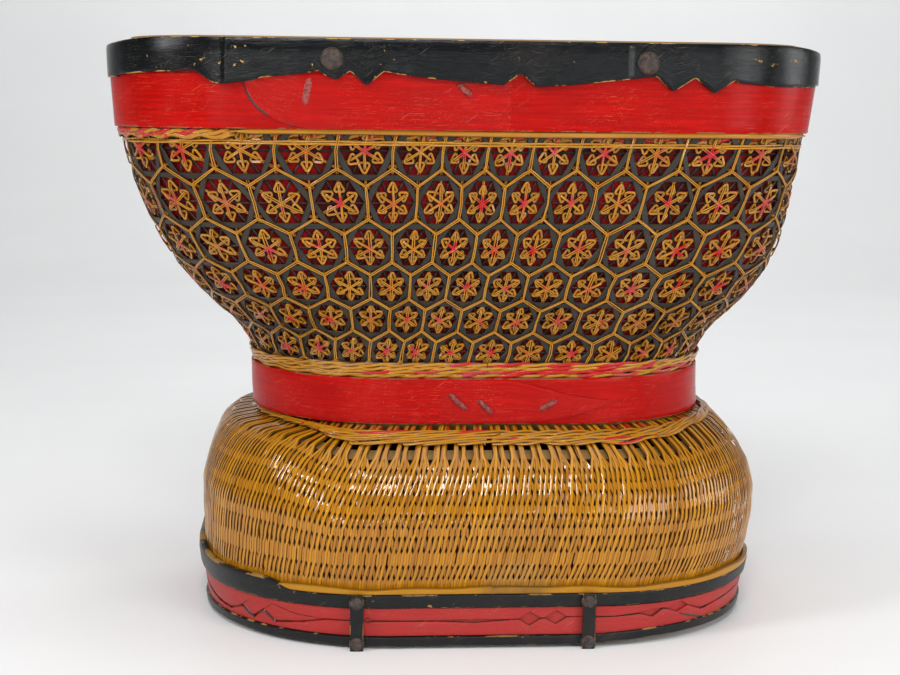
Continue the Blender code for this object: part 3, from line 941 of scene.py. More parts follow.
def side_share(around, girth):
    """0 along the front and back, 1 round the short sides, and which side it is."""
    along = from_front(around, girth)
    quarter = girth / 4
    return smooth_step(1.25 - np.abs(np.abs(along) - quarter) / (0.48 * quarter)), np.sign(along)


# How far the red rim hoop leans out at its left and right ends, over what height, and how far it is
# drawn in at the foot of the right end. Above tuck_from it stands upright behind the black hoop
lean_left = 0.0022
lean_right = 0.0036
drawn_foot = 0.0012
lean_height = 0.024
tuck_from = 0.2745
tuck_ease = 0.004


def rim_flare(around, z):
    """How far the red rim hoop leans out of upright at the short sides."""
    share, side = side_share(around, rim_face.girth)
    lifted = np.clip((z - rim_hoop_low) / lean_height, 0.0, 1.0)
    flare = np.where(side > 0, lean_right * lifted - drawn_foot, lean_left * lifted)
    return share * flare * (1.0 - smooth_step((z - tuck_from) / tuck_ease))


# The black rim hoop's cut lower edge along the front: X in the world and height
cap_edge = (
    (-0.1684, 0.2733), (-0.1535, 0.2747), (-0.1309, 0.2753), (-0.1231, 0.2699), (-0.1179, 0.2695),
    (-0.1100, 0.2706), (-0.1048, 0.2713), (-0.1009, 0.2726), (-0.0813, 0.2747), (-0.0747, 0.2760),
    (-0.0721, 0.2740), (-0.0669, 0.2719), (-0.0642, 0.2733), (-0.0603, 0.2760), (-0.0525, 0.2694),
    (-0.0446, 0.2760), (-0.0368, 0.2747), (-0.0276, 0.2735), (-0.0093, 0.2719), (0.0110, 0.2704),
    (0.0195, 0.2760), (0.0265, 0.2697), (0.0431, 0.2708), (0.0561, 0.2722), (0.0836, 0.2753),
    (0.0915, 0.2684), (0.1019, 0.2750), (0.1111, 0.2677), (0.1208, 0.2741), (0.1229, 0.2728),
    (0.1407, 0.2713), (0.1658, 0.2713),
)
# The height of that edge at the short sides, and between which X of the front a second layer laps it
cap_edge_sides = 0.2725
cap_patch = (-0.119, 0.0715)


def cap_low(face):
    """The black rim hoop's lower edge as a function of the distance around, the same front and back."""
    x, heights = np.array(cap_edge).T
    places = face.around_at(x, heights)

    def low(around):
        opposite = np.mod(around, face.girth) - face.girth / 2
        front, back = (
            np.interp(along, places, heights, left=np.nan, right=np.nan)
            for along in (from_front(around, face.girth), -opposite)
        )
        found = np.where(np.isnan(front), back, front)
        return np.where(np.isnan(found), cap_edge_sides, found)

    return low


class BASKET_OT_rim_black_hoop(bpy.types.Operator):
    """Make the outer black hoop of the rim, with its cut lower edge and lapped patch"""

    bl_idname = "basket.rim_black_hoop"
    bl_label = "Black rim hoop"

    # The top edge stands proud of the solid along the front and dips over the short sides, which begin
    # and end at these distances from the middle of the front
    top_proud = 0.0010
    top_dip = 0.0030
    dip_from = 0.145
    dip_to = 0.355
    dip_ease = 0.06
    patch_thickness = 0.0006
    side_lean = 0.0010
    rolled_in = 0.0007

    def execute(self, context):
        node = "rim_black_hoop"
        face = rim_face.grown(hoop_thickness["rim_red_hoop"] + gap)
        left, right = (face.around_at(x, rim_top) for x in cap_patch)

        def top(around):
            away = np.abs(from_front(around, face.girth))
            side = smooth_step((away - self.dip_from) / self.dip_ease)
            side = side * smooth_step((self.dip_to - away) / self.dip_ease)
            return rim_top + self.top_proud - self.top_dip * side

        def proud(around, z):
            along = from_front(around, face.girth)
            patch = smooth_step(np.minimum(along - left, right - along) / 0.0007)
            share, _ = side_share(around, face.girth)
            leaning = self.side_lean * share * (z - 0.2700) / 0.0190
            rolled = self.rolled_in * smooth_step((z - 0.2850) / 0.006)
            return self.patch_thickness * (patch - 1.0) + leaning - rolled

        piece = hoop_ring(
            "lacquered_rim_hoop", face, cap_low(face), top, hoop_thickness[node], 1100, 9, proud, 0.0005,
        )
        finish_piece(piece, "black_lacquer", black_lacquer_look(context), node)
        return {"FINISHED"}


class BASKET_OT_red_hoops(bpy.types.Operator):
    """Make the red hoops of the rim and the waist, with their pointed laps"""

    bl_idname = "basket.red_hoops"
    bl_label = "Red hoops"

    def execute(self, context):
        for node, name, face, rows, out in (
            ("rim_red_hoop", "red_rim_hoop", rim_face, 12, rim_flare),
            ("waist_red_hoop", "red_waist_hoop", waist_face, 8, None),
        ):
            low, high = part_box(node)
            hoop = hoop_ring(name, face, low.z, high.z, hoop_thickness[node], 480, rows, out, bevel=0.0005)
            finish_piece(hoop, "red_lacquer", red_lacquer_look(context), node)
        for node, name, face, *lap in (
            ("rim_red_hoop", "red_rim_lap", rim_face, rim_lap_low, rim_lap_high, 0.0015, rim_hoop_low),
            ("waist_red_hoop", "red_waist_lap", waist_face, waist_lap_low, waist_lap_high, 0.0011, waist_low),
        ):
            piece = self.lap(name, face.grown(hoop_thickness[node]), *lap)
            finish_piece(piece, "red_lacquer", lapped_red_look(context))
        return {"FINISHED"}

    @staticmethod
    def lap(name, face, low_line, high_line, proud, foot):
        """A hoop's tapered end that lies over its other end, thinning to nothing away from its point."""
        columns, rows = 90, 8
        piece, (_, row, column) = unit_sheets(name, 1, columns, rows)
        start, end = low_line[0][0], low_line[-1][0]
        x = start + (end - start) * column / columns
        low, high = (np.interp(x, *np.array(line).T) for line in (low_line, high_line))
        share = row / rows
        z = low + (high - low) * share
        pointed_left = abs(high_line[0][1] - low_line[0][1]) < 0.004
        fade = 1.0 - smooth_step(np.abs(x - (start if pointed_left else end)) / abs(end - start))
        around = face.around_at(x, foot)
        sunk = 0.0004 * smooth_step((0.25 - fade) / 0.25)
        points, _ = face.place(around, z, proud * fade + 0.00002 - sunk)
        uv = np.stack([around * uv_per_metre + 41.0, share * 0.8 + 0.1], -1)
        thicken(piece, points, uv, proud, 0.00025, even=False)
        return piece


# Outlines of the two laps: X in the world and height, from the left
rim_lap_low = (
    (-0.1092, 0.2700), (-0.1063, 0.2633), (-0.1024, 0.2590), (-0.0972, 0.2549), (-0.0946, 0.2531),
    (-0.0842, 0.2502), (-0.0777, 0.2493), (0.0500, 0.2493),
)
rim_lap_high = ((-0.1092, 0.2715), (-0.1060, 0.2765), (0.0500, 0.2765))
waist_lap_low = (
    (-0.0400, 0.1055), (0.0119, 0.1058), (0.0345, 0.1066), (0.0520, 0.1097), (0.0669, 0.1145),
    (0.0694, 0.1162),
)
waist_lap_high = (
    (-0.0400, 0.1279), (0.0200, 0.1272), (0.0286, 0.1255), (0.0503, 0.1195), (0.0694, 0.1168),
)


class BASKET_OT_bare_hoops(bpy.types.Operator):
    """Make the hoops of bare bamboo, and the strips under the rim hoop"""

    bl_idname = "basket.bare_hoops"
    bl_label = "Bare hoops"

    rim_raised = 0.0010

    def execute(self, context):
        look = bamboo_look(context)
        inwards = -3 * gap - lattice_thickness - lining_thickness
        rim_inner = rim_face.grown(inwards - hoop_thickness["rim_inner_hoop"])
        waist_inner = waist_face.grown(inwards - hoop_thickness["waist_inner_hoop"])
        base_inner = base_face.grown(-gap - belly_thickness - gap - hoop_thickness["base_inner_hoop"])
        natural_level = belly.at(belly.run_at(natural_top))[:3]
        natural = Hoop(lambda z: natural_level, natural_top).grown(gap)
        for node, face, name in (
            ("rim_inner_hoop", rim_inner, "bare_rim_hoop"),
            ("waist_inner_hoop", waist_inner, "bare_waist_hoop"),
            ("base_natural_hoop", natural, "bare_base_hoop"),
            ("base_inner_hoop", base_inner, "bare_floor_hoop"),
        ):
            low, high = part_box(node)
            top, finish = high.z, look
            if node == "rim_inner_hoop":
                top = high.z + self.rim_raised
            if node == "base_natural_hoop":
                top, finish = self.natural_edge, worn_bamboo_look(context)
            piece = hoop_ring(name, face, low.z, top, hoop_thickness[node])
            finish_piece(piece, "natural_bamboo", finish, node)
        low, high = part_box("shoulder_coil")
        coil = wall_sheet(
            "bare_shoulder_coil", belly, low.z, high.z, -belly_thickness - gap, 0.0020, rows=3,
        )
        finish_piece(coil, "natural_bamboo", look, "shoulder_coil")
        band = wall_sheet(
            "lattice_edge_band", bowl, rim_hoop_low + 0.0005, rim_top - 0.0016, -gap,
            lattice_thickness - gap, rows=4,
        )
        finish_piece(band, "golden_splint", look)
        return {"FINISHED"}

    @staticmethod
    def natural_edge(around):
        """Upper edge of the base's bare hoop: uneven, and worn away at the left."""
        uneven = 0.0005 * np.sin(around * 61.0) + 0.0004 * np.sin(around * 148.0 + 1.0)
        full = natural_top - 0.0008 + uneven
        return full - (full - natural_low - 0.0006) * worn_stretch(around)


class BASKET_OT_belly(bpy.types.Operator):
    """Weave the belly from upper and lower slivers over an inner wall painted near black as shade"""

    bl_idname = "basket.belly"
    bl_label = "Belly weave"

    # Heights of the stretches where the slivers cross, from the top down
    crossings = ((0.0865, 0.0812), (0.0767, 0.0712), (0.0659, 0.0605), (0.0550, 0.0485), (0.0404, 0.0347))
    cross_ease = 0.0016
    top = 0.1046
    open_from = 0.0875
    open_low = 0.0905
    open_high = 0.0935
    # How steeply the slivers slant, in slivers for each metre of height
    slant = 0.35 / 0.0104
    thickness = 0.00075
    # How far each layer lies from the wall's outer face, and how far it bulges where the slivers cross
    upper_out = -0.00085
    upper_bulge = 0.00030
    lower_out = -0.00100
    lower_bulge = -0.00050
    # In the open row, how far the uprights of a pair and the slivers of an upright lie from their middles,
    # in slivers
    pair_apart = 0.74
    upright_apart = 0.14
    painted_from = 0.1012

    def execute(self, context):
        count = context.scene.basket_weave.belly_slivers
        generator = np.random.default_rng(21)
        ease = self.cross_ease
        heights = [natural_low + 0.0006, 0.0315]
        for high, low in reversed(self.crossings):
            middle = (high + low) / 2
            heights += [low - ease, low, (low + middle) / 2, middle, (high + middle) / 2, high, high + ease]
        heights += [self.open_low, 0.0920, self.open_high, 0.0960, 0.0990, 0.1011, 0.1018, self.top]
        z = np.array(sorted(heights))
        crossed = sum(
            np.interp(-z, (-high - ease, -high, -low, -low + ease), (0.0, 0.25, 0.75, 1.0))
            for high, low in self.crossings
        )
        near = sum(
            np.exp(-((z - (high + low) / 2) / (0.60 * (high - low))) ** 2) for high, low in self.crossings
        )
        upper = self.slivers(context, "belly_upper_slivers", count, z, crossed, near, 1, generator)
        lower = self.slivers(context, "belly_lower_slivers", count, z, crossed, near, -1, generator)
        finish_piece(upper, "golden_splint", belly_splint_look(context), "belly_weave", smooth=50.0)
        finish_piece(lower, "golden_splint", belly_splint_look(context), smooth=50.0)
        # Painted shade: a near black inner wall, seen through the gaps of the weave
        backing = wall_sheet(
            "belly_inner_wall", belly, floor_low + 0.0002, self.open_low, -belly_thickness + 0.0005,
            0.0005, rows=24,
        )
        finish_piece(backing, "golden_splint", dark_weave_look(context))
        return {"FINISHED"}

    def slivers(self, context, name, count, z, crossed, near, layer, generator):
        """One layer of slivers, the upper one for layer 1 and the lower one for layer -1."""
        half_width = context.scene.basket_weave.sliver_width / 2
        run = belly.run_at(z)
        opened = smooth_step((z - self.open_from) / (self.open_high - self.open_from))
        number = np.arange(count)[:, None]
        cross = -0.7 * crossed if layer > 0 else 0.5 + 1.3 * crossed
        slot = number - self.slant * (self.top - z) + cross
        # In the open row the slivers gather in uprights, and the uprights in pairs
        odd = np.mod(number, 2) == 1
        second = np.mod(number // 2, 2) == 1
        upright = 4 * np.floor(number / 4) + 1.5 + np.where(second, self.pair_apart, -self.pair_apart)
        lone = generator.normal(0, 0.12, ((count + 1) // 2, 1))[(number // 2)[:, 0]]
        gathered = upright + lone + np.where(odd, self.upright_apart, -self.upright_apart)
        gathered = gathered - self.slant * (self.top - self.open_high)
        slot = slot * (1 - opened) + gathered * opened
        jitter = wavering(generator, slot.shape, 0.07, every=4)
        around = (slot + jitter) * belly.girth(run) / count
        if layer > 0:
            out = self.upper_out + self.upper_bulge * near
            at_foot = 1.0 + 0.22 * smooth_step((0.0345 - z) / 0.003)
            uneven = 1 + 0.07 * generator.normal(0, 1, (count, 1))
            width = half_width * at_foot * (1.0 + 0.14 * near) * uneven
        else:
            out = self.lower_out + self.lower_bulge * near - 0.0006 * opened
            width = half_width * (1.08 + 0.18 * near) * np.ones((count, 1))
        points, normals = belly.place(around, np.broadcast_to(run, around.shape), out)
        tone = random_tones(generator, count) * 0.75 + wavering(generator, around.shape, 0.12, every=7) + 0.1
        dabs = np.clip(generator.random((count, 1)) * 2.4 - 1.2, 0.0, 0.9)
        painted = dabs * smooth_step((z - self.painted_from) / 0.0006)
        roll = wavering(generator, around.shape, 0.12, every=5)
        section = crowned_section if layer > 0 else blunt_section
        return lay_splints(name, points, normals, width, self.thickness, section, tone, painted, roll=roll)


class BASKET_OT_twined_rings(bpy.types.Operator):
    """Twine the golden strands above and below the waist hoop, and the strip under the rim"""

    bl_idname = "basket.twined_rings"
    bl_label = "Twined rings"

    # Piece, slot and node of each set, and its rings: wall, heights, swing, half width, thickness, twists,
    # share of red, and what else differs
    sets = (
        ("upper_waist_rings", "golden_splint", "upper_twined_rings", (
            (bowl, (0.1293, 0.1311, 0.1329, 0.1347), 0.0005, 0.0009, 0.0009, 27, 0.20, {}),
        )),
        ("lower_waist_rings", "golden_splint", "lower_twined_rings", (
            (belly, (0.1013, 0.1000, 0.0987, 0.0974), 0.0009, 0.0008, 0.0008, 26, 0.05, {"gathered": 0.1036}),
        )),
        ("rim_under_strands", "natural_bamboo", "rim_strip", (
            (bowl, (0.2456, 0.2474), 0.0007, 0.0011, 0.0010, 70, 0.30, {"sunk": -0.118}),
            (bowl, (0.2433, 0.2422), 0.0002, 0.0005, 0.0005, 20, 0.0, {"proud": -0.0006}),
        )),
    )
    # How proud a ring stands of its wall when its set says nothing else, and how far its strands swing out
    usual_proud = 0.0006
    swing_out = 0.0005
    # How deep sunk strands lie, and over what distance they dive
    sunk_depth = 0.0036
    dive = 0.006
    # How far apart gathered rings lie in height
    gathered_apart = 0.0005
    # The flat strip: its first X and length along the front, its height, half width and thickness
    strip_from = -0.116
    strip_length = 0.281
    strip_height = 0.2479
    strip_half_width = 0.0015
    strip_thickness = 0.0007

    def execute(self, context):
        generator = np.random.default_rng(31)
        for name, slot, node, rings in self.sets:
            pieces = []
            for order, ring in enumerate(rings):
                pieces += self.rings(f"{name}_{order}", generator, *ring)
            if node == "rim_strip":
                pieces.append(self.flat_strip(generator))
            finish_piece(join(name, pieces), slot, golden_splint_look(context), node, smooth=80.0)
        return {"FINISHED"}

    def flat_strip(self, generator):
        """The flat strip that lies over the strands along the front, under the rim hoop."""
        steps = 90
        share = np.linspace(0, 1, steps)
        x = self.strip_from + self.strip_length * share
        z = self.strip_height + 0.0003 * np.sin(9 * share)
        level_z = self.strip_height - self.strip_half_width - 0.0001
        level = bowl.at(bowl.run_at(level_z))[:3]
        around = Hoop(lambda height: level, level_z).around_at(x, z)
        points, normals = bowl.place(around, bowl.run_at(z), 0.0012)
        half_width = self.strip_half_width * np.clip(np.minimum(share, 1 - share) / 0.03, 0.25, 1.0)
        return lay_splints(
            "flat_strip", points[None], normals[None], half_width[None], self.strip_thickness, flat_section,
            0.55 + wavering(generator, (1, steps), 0.15),
        )

    def rings(self, name, generator, wall, heights, swing, half_width, thickness, twists, red_share, differs):
        """Rings of two strands that cross each other.

        differs may say how proud they stand of the wall, from which X along the front they are sunk in it,
        and at which height they are gathered round the short sides.
        """
        share = np.linspace(0, 1, max(420, 12 * twists) + 1)
        pieces = []
        for number, z in enumerate(heights):
            run = wall.run_at(z)
            for ply in (0, 1):
                twist_count = twists + generator.integers(-2, 3)
                phase = math.tau * share * twist_count + math.pi * ply + number * 1.3
                around = (wall.girth(run) * share)[None, :]
                out = differs.get("proud", self.usual_proud) + self.swing_out * np.cos(phase)[None, :]
                height = run + (swing * np.sin(phase))[None, :]
                points, normals = wall.place(around, height, out)
                if "gathered" in differs:
                    end = smooth_step((np.abs(normals[..., 0]) - 0.15) / 0.60)
                    run_there = wall.run_at(differs["gathered"] - self.gathered_apart * number)
                    height = height + (run_there - run) * end
                    points, normals = wall.place(around, height, out)
                if "sunk" in differs:
                    hidden = smooth_step((points[..., 0] - differs["sunk"]) / self.dive)
                    hidden = hidden * smooth_step((-points[..., 1] - 0.02) / 0.01)
                    points = points - normals * self.sunk_depth * hidden[..., None]
                paint = np.zeros(around.shape)
                for _ in range(3):
                    start = generator.random()
                    length = red_share * generator.random()
                    paint = np.maximum(paint, (np.mod(share - start, 1.0) < length)[None, :] * 1.0)
                pieces.append(lay_splints(
                    f"{name}_{number}_{ply}", points, normals, half_width, thickness, round_section,
                    random_tones(generator, 1, 0.3, 1.0), paint, closed=True,
                ))
        return pieces


# How far the base's hoops stand up off the level at the front right, and along which distance around:
# where the lift begins and ends, and over how much it fades
foot_rise = 0.0016
foot_rise_from = (0.030, 0.060)
foot_rise_to = (0.330, 0.080)


def foot_lift(around):
    """How far the base's hoops stand up at a distance around."""
    along = from_front(around, base_face.girth)
    (start, start_fade), (end, end_fade) = foot_rise_from, foot_rise_to
    return foot_rise * smooth_step((along - start) / start_fade) * smooth_step((end - along) / end_fade)


def left_stretch(around, reach, ease):
    """1 round the left side of the base, out to a reach on both sides of its middle."""
    along = from_front(around, base_face.girth)
    return smooth_step((reach - np.abs(along + base_face.girth / 4)) / ease)


def worn_stretch(around):
    """1 where the bare hoop of the base is worn away and the black one covers it."""
    return left_stretch(around, 0.1187, 0.022)


def swollen_stretch(around):
    """1 where the base's upper hoop swells at the left."""
    return left_stretch(around, 0.060, 0.045)


# The base's red strips: where their meeting edges part, X in the world, middle height and half gap
mid_slit = (
    (-0.1400, 0.0230, 0.0003), (-0.1326, 0.0160, 0.0005), (-0.1294, 0.0125, 0.0008),
    (-0.1246, 0.0100, 0.0008), (-0.1183, 0.0091, 0.0006), (-0.1136, 0.0122, 0.0005),
    (-0.1120, 0.0128, 0.0008), (-0.1065, 0.0088, 0.0008), (-0.1016, 0.0138, 0.0006),
    (-0.0955, 0.0092, 0.0006), (-0.0836, 0.0112, 0.0004), (-0.0720, 0.0139, 0.0005),
    (-0.0605, 0.0140, 0.0003), (-0.0530, 0.0143, 0.0006), (-0.0514, 0.0145, 0.0016),
    (-0.0490, 0.0141, 0.0004), (-0.0300, 0.0139, 0.0002), (-0.0150, 0.0138, 0.0003),
    (0.0000, 0.0136, 0.0009), (0.0150, 0.0140, 0.0003), (0.0226, 0.0144, 0.0002),
    (0.0279, 0.0146, 0.0036), (0.0332, 0.0146, 0.0002), (0.0356, 0.0148, 0.0002),
    (0.0409, 0.0152, 0.0036), (0.0462, 0.0152, 0.0002), (0.0700, 0.0150, 0.0002),
    (0.0826, 0.0158, 0.0003), (0.0897, 0.0155, 0.0022), (0.0949, 0.0170, 0.0003),
    (0.0980, 0.0165, 0.0003), (0.1033, 0.0170, 0.0034), (0.1086, 0.0165, 0.0003),
    (0.1171, 0.0128, 0.0006), (0.1300, 0.0146, 0.0003), (0.1474, 0.0175, 0.0003),
)

# Cracks in the red strips: half width, and the places along each, as X in the world and height
base_cracks = (
    (0.0008, ((-0.1124, 0.0130), (-0.1096, 0.0108), (-0.1062, 0.0082))),
    (0.0009, ((-0.1018, 0.0140), (-0.0987, 0.0115), (-0.0951, 0.0088))),
    (0.0002, ((-0.1136, 0.0124), (-0.1112, 0.0148), (-0.1086, 0.0172))),
    (0.0002, ((-0.1016, 0.0138), (-0.0992, 0.0160), (-0.0966, 0.0182))),
    (0.0002, ((-0.0968, 0.0178), (-0.0861, 0.0150), (-0.0740, 0.0141))),
    (0.0007, ((0.1038, 0.0130), (0.1120, 0.0100), (0.1212, 0.0070))),
)

# Cracks along the lap of the red rim hoop, laid as dark ridges: painted shade in the cracks and holes
rim_cracks = (
    (0.0010, ((-0.1092, 0.2712), (-0.1063, 0.2633), (-0.1024, 0.2590), (-0.0972, 0.2549))),
    (0.0005, ((-0.0972, 0.2549), (-0.0912, 0.2523), (-0.0842, 0.2502))),
    (0.0018, ((-0.1078, 0.2695), (-0.1058, 0.2665), (-0.1036, 0.2636))),
    (0.0003, ((-0.0995, 0.2628), (-0.0940, 0.2630), (-0.0885, 0.2634))),
    (0.0003, ((-0.0842, 0.2502), (-0.0700, 0.2494), (-0.0560, 0.2494))),
)


class BASKET_OT_base_band(bpy.types.Operator):
    """Make the base's black hoops, and the two red strips with their cut meeting edges"""

    bl_idname = "basket.base_band"
    bl_label = "Base band"

    ground_thickness = 0.0009
    strip_thickness = 0.0013
    # How far the upper hoop rises at the left, and how much of that its lower edge follows
    swell = 0.0055
    swell_below = 0.75

    def execute(self, context):
        upright = Hoop(lambda z: base_face.size_at(np.minimum(z, base_top + 0.004)), base_top)
        for node, name, lifted, swell, cover in (
            ("base_upper_black_hoop", "upper_base_hoop", 0.2, self.swell, natural_top - base_top + 0.0004),
            ("base_lower_black_hoop", "lower_base_hoop", 1.0, 0.0, 0.0),
        ):
            low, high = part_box(node)

            def bottom(around):
                return low.z + lifted * foot_lift(around) + self.swell_below * swell * swollen_stretch(around)

            def top(around):
                lift = swell * swollen_stretch(around) + cover * worn_stretch(around)
                return high.z + lifted * foot_lift(around) + lift

            def proud(around, z):
                return 0.0003 * swollen_stretch(around)

            piece = hoop_ring(name, upright, bottom, top, hoop_thickness[node], out=proud, bevel=0.0007)
            finish_piece(piece, "black_lacquer", base_black_look(context), node)
        self.red_strips(context)
        self.cracks(context)
        return {"FINISHED"}

    def red_strips(self, context):
        low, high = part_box("base_lower_red_strip")[0].z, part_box("base_upper_red_strip")[1].z
        face = base_face.grown(self.ground_thickness)
        outer = face.grown(self.strip_thickness)
        x, middles, half_gaps = np.array(mid_slit).T
        places = outer.around_at(x, middles)

        def slit(around):
            along = from_front(around * outer.girth / face.girth, outer.girth)
            middle = np.interp(along, places, middles, left=(low + high) / 2, right=(low + high) / 2)
            return middle, np.interp(along, places, half_gaps, left=0.0003, right=0.0003)

        def lower_edge(around):
            middle, half_gap = slit(around)
            return np.clip(middle - half_gap, low + 0.0006, high - 0.0012)

        def upper_edge(around):
            middle, half_gap = slit(around)
            return np.clip(middle + half_gap, low + 0.0012, high - 0.0006)

        ground = hoop_ring("base_band_ground", base_face, low, high, self.ground_thickness, rows=2, bevel=0.0)
        finish_piece(ground, "red_lacquer", dull_red_look(context))
        for node, name, z_low, z_high in (
            ("base_lower_red_strip", "lower_red_band", low, lower_edge),
            ("base_upper_red_strip", "upper_red_band", upper_edge, high),
        ):
            piece = hoop_ring(name, face, z_low, z_high, self.strip_thickness, 1100, bevel=0.0003)
            finish_piece(piece, "red_lacquer", dull_red_look(context), node)

    def cracks(self, context):
        # Dark ridges along the cracks of the band and the rim lap: partly dark strips, partly painted shade
        # in the cracks and holes
        band = base_face.grown(self.ground_thickness + self.strip_thickness)
        rim = rim_face.grown(hoop_thickness["rim_red_hoop"])
        cracks = [(band, None, 0.0, *crack) for crack in base_cracks]
        cracks += [(rim, rim_hoop_low, 0.0007, *crack) for crack in rim_cracks]
        pieces = []
        for number, (face, level, proud, half_width, places) in enumerate(cracks):
            share = np.linspace(0, len(places) - 1, 13)
            x, z = (np.interp(share, np.arange(len(places)), column) for column in np.array(places).T)
            points, normals = face.place(face.around_at(x, level or z), z, proud - 0.0001)
            taper = np.clip(2.2 * np.minimum(share, share[-1] - share) + 0.15, 0.15, 1.0)
            pieces.append(lay_splints(
                f"crack_{number}", points[None], normals[None], (half_width * taper)[None],
                0.00025 + half_width * 0.35, ridge_section, np.array([[0.5]]),
            ))
        piece = join("base_band_cracks", pieces)
        finish_piece(piece, "red_lacquer", crack_and_shade_look(), smooth=80.0)


class BASKET_OT_straps(bpy.types.Operator):
    """Bend the two black straps round the base"""

    bl_idname = "basket.straps"
    bl_label = "Straps"

    bend = 0.0016

    def execute(self, context):
        columns, rows = 6, 120
        for node, x in (("strap_left", -strap_spread), ("strap_right", strap_spread)):
            _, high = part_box(node)
            piece, (_, row, column) = unit_sheets(f"lacquered_{node}", 1, columns, rows)
            side = high.z - self.bend
            quarter = self.bend * math.pi / 2
            total = 2 * (side + quarter + high.y - self.bend)
            along = total * row / rows
            # Both halves are alike, so each place goes by its distance from the nearer end
            from_end = np.minimum(along, total - along)
            turned = np.clip(from_end - side, 0, quarter) / self.bend
            y = high.y - self.bend * (1 - np.cos(turned)) - np.clip(from_end - side - quarter, 0, None)
            z = self.bend * (1 - np.sin(turned)) + side - np.minimum(from_end, side)
            width = strap_width * (1 + 0.03 * np.sin(along * 90))
            points = np.stack(
                [x + width * (column / columns - 0.5), np.where(along < total / 2, -y, y), z], -1)
            uv = np.stack([along * uv_per_metre, column / columns], -1)
            thicken(piece, points, uv, strap_thickness, 0.0004, even=False)
            turn_faces(piece)
            finish_piece(piece, "black_lacquer", base_black_look(context), node)
        return {"FINISHED"}


class BASKET_OT_nails(bpy.types.Operator):
    """Forge the domed nail heads and set them where the solids have theirs"""

    bl_idname = "basket.nails"
    bl_label = "Nails"

    rim_dome = 0.0033
    strap_dome = 0.0023
    # Heads are a little wider than the solids' heads, dented by a hammer and flattened on top
    widened = 1.03
    dent_count = 5
    dent_depth = 0.035
    dent_reach = 0.45
    flattened = 0.10

    def execute(self, context):
        nodes = sorted(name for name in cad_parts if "_nail_" in name)
        for number, node in enumerate(nodes):
            generator = np.random.default_rng(40 + number)
            low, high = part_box(node)
            centre = (low + high) / 2
            radius = (high.x - low.x) / 2 * self.widened
            dome = self.rim_dome if "rim" in node else self.strap_dome
            deselect_all()
            bpy.ops.mesh.primitive_uv_sphere_add(segments=28, ring_count=14, radius=1)
            piece = bpy.context.object
            piece.name = f"forged_{node}"
            bpy.ops.object.mode_set(mode="EDIT")
            bpy.ops.mesh.select_all(action="SELECT")
            bpy.ops.mesh.bisect(plane_co=(0, 0, -0.12), plane_no=(0, 0, 1), use_fill=True, clear_inner=True)
            bpy.ops.object.mode_set(mode="OBJECT")
            places = np.array([vertex.co for vertex in piece.data.vertices])
            for dent in unit(generator.normal(0, 1, (self.dent_count, 3))):
                away = np.linalg.norm(places - dent, axis=1)
                places = places * (1 - self.dent_depth * np.exp(-(away / self.dent_reach) ** 2))[:, None]
            flat = 1.0 - self.flattened * np.clip(places[:, 2], 0, 1) ** 3
            side, face_y = (1, low.y) if centre.y < 0 else (-1, high.y)
            write_places(piece, np.stack([
                centre.x + side * places[:, 0] * radius,
                face_y + side * dome * (1 - places[:, 2] * flat),
                centre.z + places[:, 1] * radius,
            ], -1))
            turn_faces(piece)
            finish_piece(piece, "iron", iron_look(context), node)
        return {"FINISHED"}


class BASKET_OT_stitches(bpy.types.Operator):
    """Wind the small cords that tie the laps of the red hoops"""

    bl_idname = "basket.stitches"
    bl_label = "Stitches"

    # Ends of each stitch, as X in the world and height, and how stout it is
    rim_stitches = (
        ((-0.0790, 0.2736), (-0.0816, 0.2596), 1.6),
        ((-0.0102, 0.2708), (-0.0037, 0.2652), 1.2),
    )
    waist_stitches = (
        ((-0.0099, 0.1206), (-0.0015, 0.1125), 1.2),
        ((0.0044, 0.1174), (0.0110, 0.1108), 1.2),
        ((0.0345, 0.1125), (0.0436, 0.1174), 1.2),
    )
    plies = 3
    turns = 2.5
    steps = 48

    def execute(self, context):
        share = np.linspace(0, 1, self.steps + 1)
        taper = np.sqrt(np.clip(1 - (2 * share - 1) ** 4, 0.02, 1))
        for place, face, stitches, foot in (
            ("rim", rim_face.grown(hoop_thickness["rim_red_hoop"]), self.rim_stitches, rim_hoop_low),
            ("waist", waist_face.grown(hoop_thickness["waist_red_hoop"]), self.waist_stitches, waist_low),
        ):
            for number, (start, end, stout) in enumerate(stitches, 1):
                x, z = (first + (last - first) * share for first, last in zip(start, end))
                across = Vector((end[1] - start[1], start[0] - end[0])).normalized()
                pieces = []
                for ply in range(self.plies):
                    phase = math.tau * (self.turns * share + ply / self.plies)
                    swing = 0.00065 * stout * taper * np.sin(phase)
                    out = (0.0004 + 0.0005 * np.cos(phase)) * taper + 0.0002
                    around = face.around_at(x + across.x * swing, foot)
                    points, normals = face.place(around, z + across.y * swing, out)
                    pieces.append(lay_splints(
                        f"ply_{ply}", points[None], normals[None], 0.00062 * stout * taper[None],
                        0.0009 * taper[None], round_section, np.array([[0.5]]),
                    ))
                piece = join(f"cord_{place}_stitch_{number}", pieces)
                node = f"{place}_stitch_{number}"
                finish_piece(piece, "red_lacquer", stitch_look(), node, smooth=80.0)
        return {"FINISHED"}


